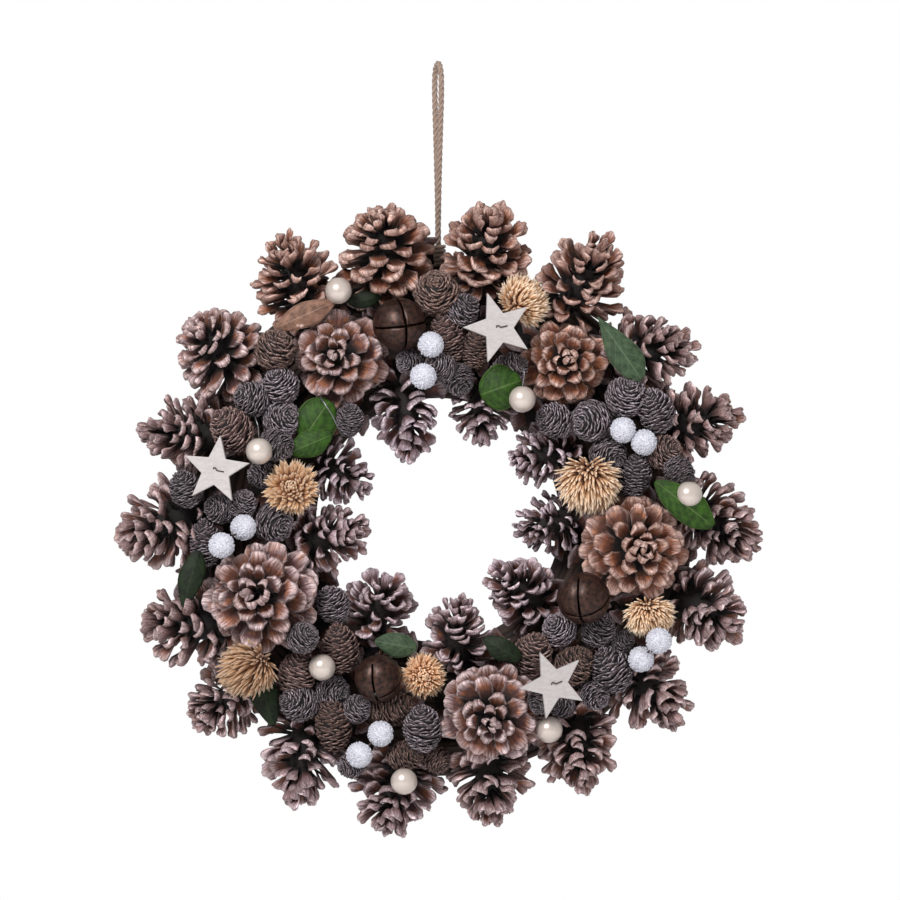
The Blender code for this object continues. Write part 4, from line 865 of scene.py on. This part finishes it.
flowerHeads = (
    (17.0, 19, 40, 50, 0.50, 480, 0.075), (20.0, 29, -90, 54, 0.60, 480, 0.075),
    (16.0, 18, -80, 60, 0.50, 480, 0.075), (14.0, 14, 0, 8, 0.05, 480, 0.075),
    (17.5, 31, -150, 66, 1.00, 480, 0.075), (17.6, 15, 90, 12, 0.65, 240, 0.1275),
)  # radius, length, heading of the bristles, lean from the front, how darkened, how many bristles and how broad
bristle = bladeObject("bristle", [(0.0, 0.32, 0.05), (0.55, 0.50, 0.065), (0.85, 0.36, 0.045), (1.0, 0.08, 0.01)],
                      (-1.0, 0.0, 1.0), 0.10, 0.0)
headCore = coreObject("headCore", [(0.10, 0.0), (0.34, 0.04), (0.46, 0.22), (0.46, 0.42), (0.30, 0.60), (0.08, 0.66)])
headTree = spiralTree("flowerHeadBristles", {
    "rootReach": [(0, 0.20), (0.2, 0.34), (0.5, 0.36), (0.8, 0.24), (1, 0.02)],
    "rootHeight": [(0, 0.06), (0.5, 0.30), (1, 0.50)],
    "tipReach": [(0, 0.92), (0.25, 1.0), (0.55, 0.84), (0.8, 0.55), (1, 0.06)],
    "tipHeight": [(0, 0.02), (0.25, 0.34), (0.5, 0.64), (0.8, 0.90), (1, 1.0)],
    "width": [(0, 1.0), (1, 1.0)],
})
headSet = {"seed": 7, "wireBack": 30.0}
headLook = {"piece": bristle, "core": headCore, "thickness": 1.0, "jitter": 0.18, "warp": 0.0015, "warpScale": 90.0,
            "material": strawBristle}
for i, (radius, length, heading, lean, darkened, count, width) in enumerate(flowerHeads):
    node = f"flower_head_{i + 1}"
    mesh = grow(headTree, **headLook, count=count, width=width, radius=radius * mm, length=length * mm, aged=darkened,
                seed=headSet["seed"] + i)
    placeInBox(mesh, turned(heading, lean), node, 1.0)
    makePiece(node + "_bristles", mesh, (), (node,), "straw")
    at = sum(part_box(node), Vector()) / 2
    stems.append((at, at + backward * headSet["wireBack"]))
print("flower heads grown")


# Leaves

# node, colour, x, z, length, width, heading of the tip, arch, where it is widest (over 1: past the middle),
# roundness, how far it stands in front of the node
leafRows = (
    ("leaf_1", "bright", -68.6, 56.6, 27, 24, 56, 4.0, 1.1, 0.65, -0.4),
    ("leaf_2", "bright", 35.2, 75.1, 24, 26, 20, 4.0, 1.0, 0.6, -0.4),
    ("leaf_3", "grey", 102.0, 97.2, 43, 18, -55, 3.0, 1.5, 0.8, 4.0),
    ("leaf_4", "bright", 137.9, 10.0, 41, 19, -38, 3.5, 1.1, 0.7, -0.4),
    ("leaf_5", "dark", -41.2, 124.9, 19, 10, 10, 2.0, 0.85, 1.0, -0.4),
    ("leaf_6", "dark", -138.6, -32.2, 33, 14, -105, 3.0, 0.85, 0.8, -0.4),
    ("alder_spray_4", "dark", -96.6, -100.6, 30, 15, -75, 3.0, 0.85, 0.8, -0.4),
    ("alder_spray_4", "grey", -23.7, -69.5, 24, 14, 170, 2.0, 0.85, 0.8, -0.4),
    ("alder_spray_5", "dark", 36.0, -71.6, 24, 13, 150, 3.0, 0.9, 0.8, -0.4),
    ("outer_cone_18", "brown", -75.0, 116.0, 36, 14, 24, 3.0, 1.0, 0.7, 13.0),
    ("leaf_1", "bright", -71.6, 43.6, 26, 15, 203, 2.0, 1.0, 0.75, 1.6),
)
leafSet = {"thickness": 0.5, "rows": 22, "columns": 10, "stalk": 0.02, "blade": 0.95, "edgeWave": 0.05, "waves": 9,
           "droop": 0.14, "droopPower": 1.4, "twist": 0.35, "twists": 7, "wireBack": 30.0}


def leafMesh(length, width, arch, widest, roundness, seed):
    bm = bmesh.new()
    notes, lines = [], []
    phase = random.Random(seed).uniform(0, 6)
    for i in range(leafSet["rows"] + 1):
        t = i / leafSet["rows"]
        swell = math.sin(math.pi * (leafSet["stalk"] + leafSet["blade"] * t) ** widest)
        half = 0.5 * width * max(swell, leafSet["stalk"]) ** roundness
        line = []
        for j in range(leafSet["columns"] + 1):
            v = 2 * j / leafSet["columns"] - 1
            wave = 1.0 + leafSet["edgeWave"] * math.sin(leafSet["waves"] * t + phase + v)
            droop = leafSet["droop"] * width * abs(v) ** leafSet["droopPower"] * (half / (0.5 * width))
            twist = leafSet["twist"] * math.sin(leafSet["twists"] * t + phase) * v
            z = arch * (math.sin(math.pi * t) - 1.0) - droop + twist
            line.append(bm.verts.new((length * (t - 0.5) * mm, half * wave * v * mm, z * mm)))
            notes.append((t, abs(v)))
        lines.append(line)
    for a, b in zip(lines, lines[1:]):
        for j in range(leafSet["columns"]):
            bm.faces.new((a[j], b[j], b[j + 1], a[j + 1]))
    mesh = meshOf(bm, "leaf")
    setFloats(mesh, notes, "along", "across")
    return thickened(mesh, leafSet["thickness"], 0)


leafSlots = {"bright": "green_leaf", "grey": "grey_leaf", "dark": "dark_leaf", "brown": "dark_leaf"}
for i, (node, color, x, z, length, width, heading, arch, widest, roundness, ahead) in enumerate(leafRows):
    mesh = leafMesh(length, width, arch, widest, roundness, i)
    at = seated(node, x, z, -ahead)
    mesh.transform(placement(at, facing(heading, 90)))
    makePiece(f"leaf_blade_{i + 1}", mesh, (leafMaterials[color],), (node,) if i < 6 else (), leafSlots[color])
    stems.append((at, at + backward * leafSet["wireBack"]))
print("leaves made")


# Willow ring behind it all

ringSet = {"rods": 54, "middle": 107.5, "halfWidth": 36.5, "depth": 12.5, "rod": 2.5, "weave": 3.2, "seed": 4}


def ringTree():
    # closed rods side by side across the ring, in three layers, each weaving a little among its neighbours
    tree, add, given = geometryTree(
        "willowRods", ("Rods", "Int"), ("Middle", "Float"), ("Half Width", "Float"), ("Depth", "Float"),
        ("Rod", "Float"), ("Weave", "Float"), ("Seed", "Int"), ("Material", "Material"))
    points = add("GeometryNodePoints", {"Count": given["Rods"]})
    circle = add("GeometryNodeCurvePrimitiveCircle", {"Resolution": 88, "Radius": 1.0})
    rods = add("GeometryNodeInstanceOnPoints", {"Points": points, "Instance": circle})
    luck = add("FunctionNodeRandomValue", {2: 0.0, 3: 1.0, 8: given["Seed"]}, output=1)
    for label, value in (("rod", add("GeometryNodeInputIndex")), ("tint", luck)):
        rods = add("GeometryNodeStoreNamedAttribute", {"Geometry": rods, "Name": label, "Value": value},
                   domain="INSTANCE")
    rods = add("GeometryNodeRealizeInstances", rods)
    known = dict(given, along=add("GeometryNodeSplineParameter", output="Factor"))
    rods = add("GeometryNodeStoreNamedAttribute", {"Geometry": rods, "Name": "along", "Value": known["along"]})
    for label in ("rod", "tint"):
        known[label] = add("GeometryNodeInputNamedAttribute", {"Name": label})
    for result, operation, *values in (  # the sums, as in the spiral
            ("angle", "MULTIPLY", "along", 2 * math.pi), ("layer", "MODULO", "rod", 3.0),
            ("lane", "ADD", "rod", 0.5), ("lane", "DIVIDE", "lane", "Rods"), ("phase", "MULTIPLY", "tint", 40.0),
            ("slow", "MULTIPLY", "angle", 3.0), ("slow", "ADD", "slow", "phase"), ("slow", "SINE", "slow"),
            ("fast", "MULTIPLY", "angle", 7.0), ("fast", "ADD", "fast", "phase"), ("fast", "SINE", "fast"),
            ("fast", "MULTIPLY", "fast", 0.5), ("sway", "ADD", "slow", "fast"),
            ("across", "MULTIPLY", "lane", 2.0), ("across", "SUBTRACT", "across", 1.0),
            ("reach", "MULTIPLY", "across", "Half Width"), ("reach", "ADD", "Middle", "reach"),
            ("square", "MULTIPLY", "across", "across"), ("play", "SUBTRACT", 1.0, "square"),
            ("play", "MULTIPLY", "Weave", "play"), ("play", "MULTIPLY", "sway", "play"),
            ("reach", "ADD", "reach", "play"), ("crown", "MULTIPLY", "square", 0.75),
            ("crown", "SUBTRACT", 1.0, "crown"), ("deep", "DIVIDE", "layer", 2.0),
            ("deep", "MULTIPLY", "deep", "Depth"), ("deep", "MULTIPLY", "deep", "crown"),
            ("back", "MULTIPLY", "Rod", 1.15), ("deep", "ADD", "deep", "back"),
            ("deep", "MULTIPLY", "deep", -1.0), ("girth", "ADD", "tint", -0.5), ("girth", "MULTIPLY", "girth", 0.35),
            ("girth", "ADD", 1.0, "girth"), ("x", "COSINE", "angle"), ("x", "MULTIPLY", "reach", "x"),
            ("z", "SINE", "angle"), ("z", "MULTIPLY", "reach", "z")):
        known[result] = add("ShaderNodeMath", *(known.get(value, value) for value in values), operation=operation)
    place = add("ShaderNodeCombineXYZ", known["x"], known["deep"], known["z"])
    rods = add("GeometryNodeSetPosition", {"Geometry": rods, "Position": place})
    rods = add("GeometryNodeSetCurveRadius", {"Curve": rods, "Radius": known["girth"]})
    section = add("GeometryNodeCurvePrimitiveCircle", {"Resolution": 6, "Radius": given["Rod"]})
    solid = add("GeometryNodeCurveToMesh", {"Curve": rods, "Profile Curve": section})
    solid = add("GeometryNodeSetShadeSmooth", solid)
    solid = add("GeometryNodeSetMaterial", {"Geometry": solid, "Material": given["Material"]})
    tree.links.new(solid, tree.nodes.new("NodeGroupOutput").inputs[0])
    return tree


mesh = grow(ringTree(), rods=ringSet["rods"], middle=ringSet["middle"] * mm, halfWidth=ringSet["halfWidth"] * mm,
            depth=(ringSet["depth"] - 2 * ringSet["rod"]) * mm, rod=ringSet["rod"] * mm, weave=ringSet["weave"] * mm,
            seed=ringSet["seed"], material=shadedWillowBark)
mesh.transform(Matrix.Translation(wreathMiddle))
# a thick inner rod bundle, so nothing shows through between the woven rods; the same near-black bark, painted shade
# behind the gaps
bundleSet = {"middle": 107.5, "halfWidth": 34.0, "back": 7.5, "halfDepth": 2.8, "steps": 96, "sides": 12}
bm = bmesh.new()
rings = []
for a in (2 * math.pi * k / bundleSet["steps"] for k in range(bundleSet["steps"])):
    rings.append([])
    for b in (2 * math.pi * k / bundleSet["sides"] for k in range(bundleSet["sides"])):
        reach = bundleSet["middle"] + bundleSet["halfWidth"] * math.cos(b)
        depth = -bundleSet["back"] + bundleSet["halfDepth"] * math.sin(b)
        rings[-1].append(bm.verts.new(wreathMiddle + Vector((reach * math.cos(a), depth, reach * math.sin(a))) * mm))
bridge(bm, rings + rings[:1], False)
bundle = meshOf(bm, "bundle")
bundle.materials.append(shadedWillowBark)
makePiece("willow_ring", joinMeshes("willow ring", mesh, bundle), (), ("base_ring",), "willow")
print("ring made")

# Loose pine scales strewn over the ring fill the gaps between the pieces
litterSet = {"scales": 300, "inside": 74.0, "outside": 146.0, "front": 13.5, "deep": 5.0,
             "length": 15.0, "sizes": (0.7, 1.15), "leans": (5, 50), "aged": 0.6, "seed": 12}
rng = random.Random(litterSet["seed"])
litter = []
for k in range(litterSet["scales"]):
    heading = math.radians(360 * (k + rng.random()) / litterSet["scales"])
    reach = rng.uniform(litterSet["inside"], litterSet["outside"])
    depth = -litterSet["front"] - rng.uniform(0, litterSet["deep"])
    at = wreathMiddle + Vector((reach * math.cos(heading), depth, reach * math.sin(heading))) * mm
    pose = facing(rng.uniform(0, 360), rng.uniform(0, 360), rng.uniform(*litterSet["leans"]))
    size = litterSet["length"] * rng.uniform(*litterSet["sizes"]) * mm
    litter.append((knobScale.data, placement(at, pose) @ Matrix.Diagonal((size, size, size, 1))))
mesh = joinMeshes("scale litter", *litter)
setFloats(mesh, [(rng.random(), litterSet["aged"]) for v in mesh.vertices], "tint", "aged")
makePiece("scale_litter", mesh, (pineWood,), (), "pine_cone")


# Jute loop: three plies twisted round the route, tied at the ring's rim

twineSet = {"diameter": 3.2, "plies": 3, "lay": 11.0, "step": 0.9, "plyOut": 0.24, "plyRadius": 0.31, "sides": 8,
            "fuzz": 0.10, "hairs": 900, "plyApart": 9}  # mm, shares of the diameter, and hairs to a metre
twineRoute = [Vector(p) * mm for p in (
    (0.0, -4.9, 154.8), (0.0, -5.8, 165.0), (-0.4, -6.0, 190.0), (-1.2, -4.6, 220.0),
    (-1.8, -3.4, 240.0), (-1.8, -3.3, 252.0), (-1.2, -5.4, 257.8), (0.0, -10.0, 260.0),
    (1.2, -14.6, 257.8), (1.8, -16.7, 252.0), (1.8, -16.6, 240.0), (1.2, -15.4, 220.0),
    (0.4, -13.0, 190.0), (0.0, -11.4, 165.0), (0.0, -9.3, 154.8))]


def smoothRoute(route, step, fine=24):
    # even steps along a smooth curve through the route's own points, measured on fine pieces of each stretch
    dense = []
    ends = [2 * route[0] - route[1]] + list(route) + [2 * route[-1] - route[-2]]
    for a, b, c, d in zip(ends, ends[1:], ends[2:], ends[3:]):
        for i in range(fine):
            t = i / fine
            dense.append(0.5 * (2 * b + (c - a) * t + (2 * a - 5 * b + 4 * c - d) * t ** 2
                                + (3 * b - a - 3 * c + d) * t ** 3))
    dense.append(route[-1])
    lengths = [0.0]
    for a, b in zip(dense, dense[1:]):
        lengths.append(lengths[-1] + (b - a).length)
    count = round(lengths[-1] / step)
    result, j = [], 0
    for i in range(count + 1):
        target = lengths[-1] * i / count
        while j < len(lengths) - 2 and lengths[j + 1] < target:
            j += 1
        share = (target - lengths[j]) / max(lengths[j + 1] - lengths[j], 1e-9)
        result.append(dense[j].lerp(dense[j + 1], min(max(share, 0), 1)))
    return result, lengths[-1]


twinePath, twineLength = smoothRoute(twineRoute, twineSet["step"] * mm)
twinePath = [p + wreathMiddle for p in twinePath]
bm = bmesh.new()
twineNotes = []
for ply in range(twineSet["plies"]):
    rings = []
    for i, (point, ahead, normal, side) in enumerate(framesAlong(twinePath)):
        spin = 2 * math.pi * (i * twineSet["step"] / twineSet["lay"] + ply / twineSet["plies"])
        out = normal * math.cos(spin) + side * math.sin(spin)
        centre = point + out * twineSet["plyOut"] * twineSet["diameter"] * mm
        across = ahead.cross(out)
        rings.append([])
        for k in range(twineSet["sides"]):
            a = 2 * math.pi * k / twineSet["sides"]
            spot = centre * twineSet["hairs"] + Vector((k, ply * twineSet["plyApart"], 0))
            fuzz = 1 + twineSet["fuzz"] * noise.noise(spot)
            reach = twineSet["plyRadius"] * twineSet["diameter"] * fuzz * mm
            rings[-1].append(bm.verts.new(centre + (out * math.cos(a) + across * math.sin(a)) * reach))
            twineNotes.append((i / len(twinePath), abs(2 * k / twineSet["sides"] - 1)))
    bridge(bm, rings)
mesh = meshOf(bm, "twine")
setFloats(mesh, twineNotes, "along", "across")
twine = makePiece("jute_loop", mesh, (juteFibre,), ("hanging_loop",), "jute")
tuple(twinePath[0])
[tuple(p) for p in twinePath]
# the knot that ties both legs to the ring: five turns of the same twine round them
knotSet = {"turns": 5, "steps": 20, "low": 144.0, "high": 156.0, "wide": 3.4, "deep": 5.2, "front": 7.1, "tube": 1.15}
turns = []
for k in range(knotSet["turns"] * knotSet["steps"] + 1):
    share, a = k / (knotSet["turns"] * knotSet["steps"]), 2 * math.pi * k / knotSet["steps"]
    height = knotSet["low"] + (knotSet["high"] - knotSet["low"]) * share
    depth = knotSet["deep"] * math.sin(a) - knotSet["front"]
    turns.append(wreathMiddle + Vector((knotSet["wide"] * math.cos(a), depth, height)) * mm)
bm = bmesh.new()
tubeInto(bm, turns, knotSet["tube"] * mm, 8)
mesh = meshOf(bm, "knot")
setFloats(mesh, [(v.index / len(mesh.vertices), (v.index % 8) / 8) for v in mesh.vertices], "along", "across")
makePiece("jute_knot", mesh, (juteFibre,), (), "jute")
print("loop made,", round(twineLength / mm, 1), "mm")


# Binding wires from the small pieces back to the ring

wireSet = {"radius": 0.6, "thread": 0.4, "inside": 80.0, "outside": 140.0, "bend": 4.0, "footDeep": 8.0,
           "short": 20.5, "parts": 3, "least": 0.3, "bow": (1.2, -2.0, 0), "threadBack": 12}
bm = bmesh.new()
for start, end in stems:
    flat = Vector((start.x - wreathMiddle.x, 0, start.z - wreathMiddle.z))
    reach = min(max(flat.length, wireSet["inside"] * mm), wireSet["outside"] * mm)
    foot = wreathMiddle + flat.normalized() * reach - backward * wireSet["footDeep"]
    bend = start.lerp(foot, 0.5) + backward * wireSet["bend"]
    if (end - start).length < wireSet["short"] * mm:
        points = [end, start, bend, foot]
    else:
        points = [start, end] if end.y < start.y + mm else [start, bend, foot]
    smooth = [a.lerp(b, t / wireSet["parts"]) for a, b in zip(points, points[1:]) for t in range(wireSet["parts"])]
    smooth.append(points[-1])
    smooth = [p for i, p in enumerate(smooth) if i == 0 or (p - smooth[i - 1]).length > wireSet["least"] * mm]
    if len(smooth) > 1:
        tubeInto(bm, smooth, wireSet["radius"] * mm)
makePiece("binding_wires", meshOf(bm, "wires"), (bindingWire,))
pearlThreads = (((-100.2, 45.0), (-103.6, 62.0), -52.0), ((47.0, 74.0), (47.6, 90.0), -56.0),
                ((140.0, 21.0), (129.4, 30.0), -50.0), ((-66.0, 70.0), (-54.0, 48.0), -54.0))  # from, to, depth
bm = bmesh.new()
for start, stop, depth in pearlThreads:
    a, b = (Vector((x, depth, z + wreathMiddle.z / mm)) * mm for x, z in (start, stop))
    middle = a.lerp(b, 0.5) + Vector(wireSet["bow"]) * mm
    end = b + backward * wireSet["threadBack"]
    tubeInto(bm, [a, a.lerp(middle, 0.5), middle, middle.lerp(b, 0.5), end], wireSet["thread"] * mm)
makePiece("pearl_threads", meshOf(bm, "threads"), (pelletSteel,))
print("wires and threads made,", len(stems), "wires")

for helper in (pineScale, knobScale, pineCore, alderScale, alderCore, grainPiece, berryCore, bristle, headCore):
    bpy.data.objects.remove(helper)


# Stage: pale floor under the hanging wreath and soft studio light

stageSet = {"sky": 0.44, "backdrop": 1.0, "floorSize": 1.6, "floorPlace": (0, -0.6, -0.62), "aim": (0, -0.03, -0.25)}
lamps = (("keyLight", (-0.7, -1.5, 0.75), 0.7, 36.0, True), ("fillLight", (1.1, -1.3, -0.1), 0.9, 8.0, False))
floorMaterial, shader = speckled("paleStudioFloor", 0.85, "#eeeeee", "#f4f4f4", 333.3, 0.1)  # vinyl sheet, matt
bm = bmesh.new()
bmesh.ops.create_grid(bm, x_segments=8, y_segments=8, size=stageSet["floorSize"],
                      matrix=Matrix.Translation(stageSet["floorPlace"]))
floor = inScene("studio_floor", meshOf(bm, "floor"))
floor.data.materials.append(floorMaterial)
world = bpy.data.worlds.new("studioSky")
world.use_nodes = True
sky = world.node_tree.nodes["Background"]
sky.inputs["Color"].default_value = (1, 1, 1, 1)
sky.inputs["Strength"].default_value = stageSet["sky"]
add = partial(addNode, world.node_tree)
backdrop = add("ShaderNodeBackground", {"Color": (1, 1, 1, 1), "Strength": stageSet["backdrop"]})
mixed = add("ShaderNodeMixShader", add("ShaderNodeLightPath", output="Is Camera Ray"), sky.outputs[0], backdrop)
world.node_tree.links.new(mixed, world.node_tree.nodes["World Output"].inputs["Surface"])
scene.world = world
for name, place, size, power, shine in lamps:
    data = bpy.data.lights.new(name, "AREA")
    data.size = size
    data.energy = power
    lamp = inScene(name, data)
    lamp.location = place
    lamp.visible_glossy = shine
    lamp.rotation_euler = (Vector(stageSet["aim"]) - Vector(place)).to_track_quat("-Z", "Y").to_euler()
scene.view_settings.view_transform = "Standard"
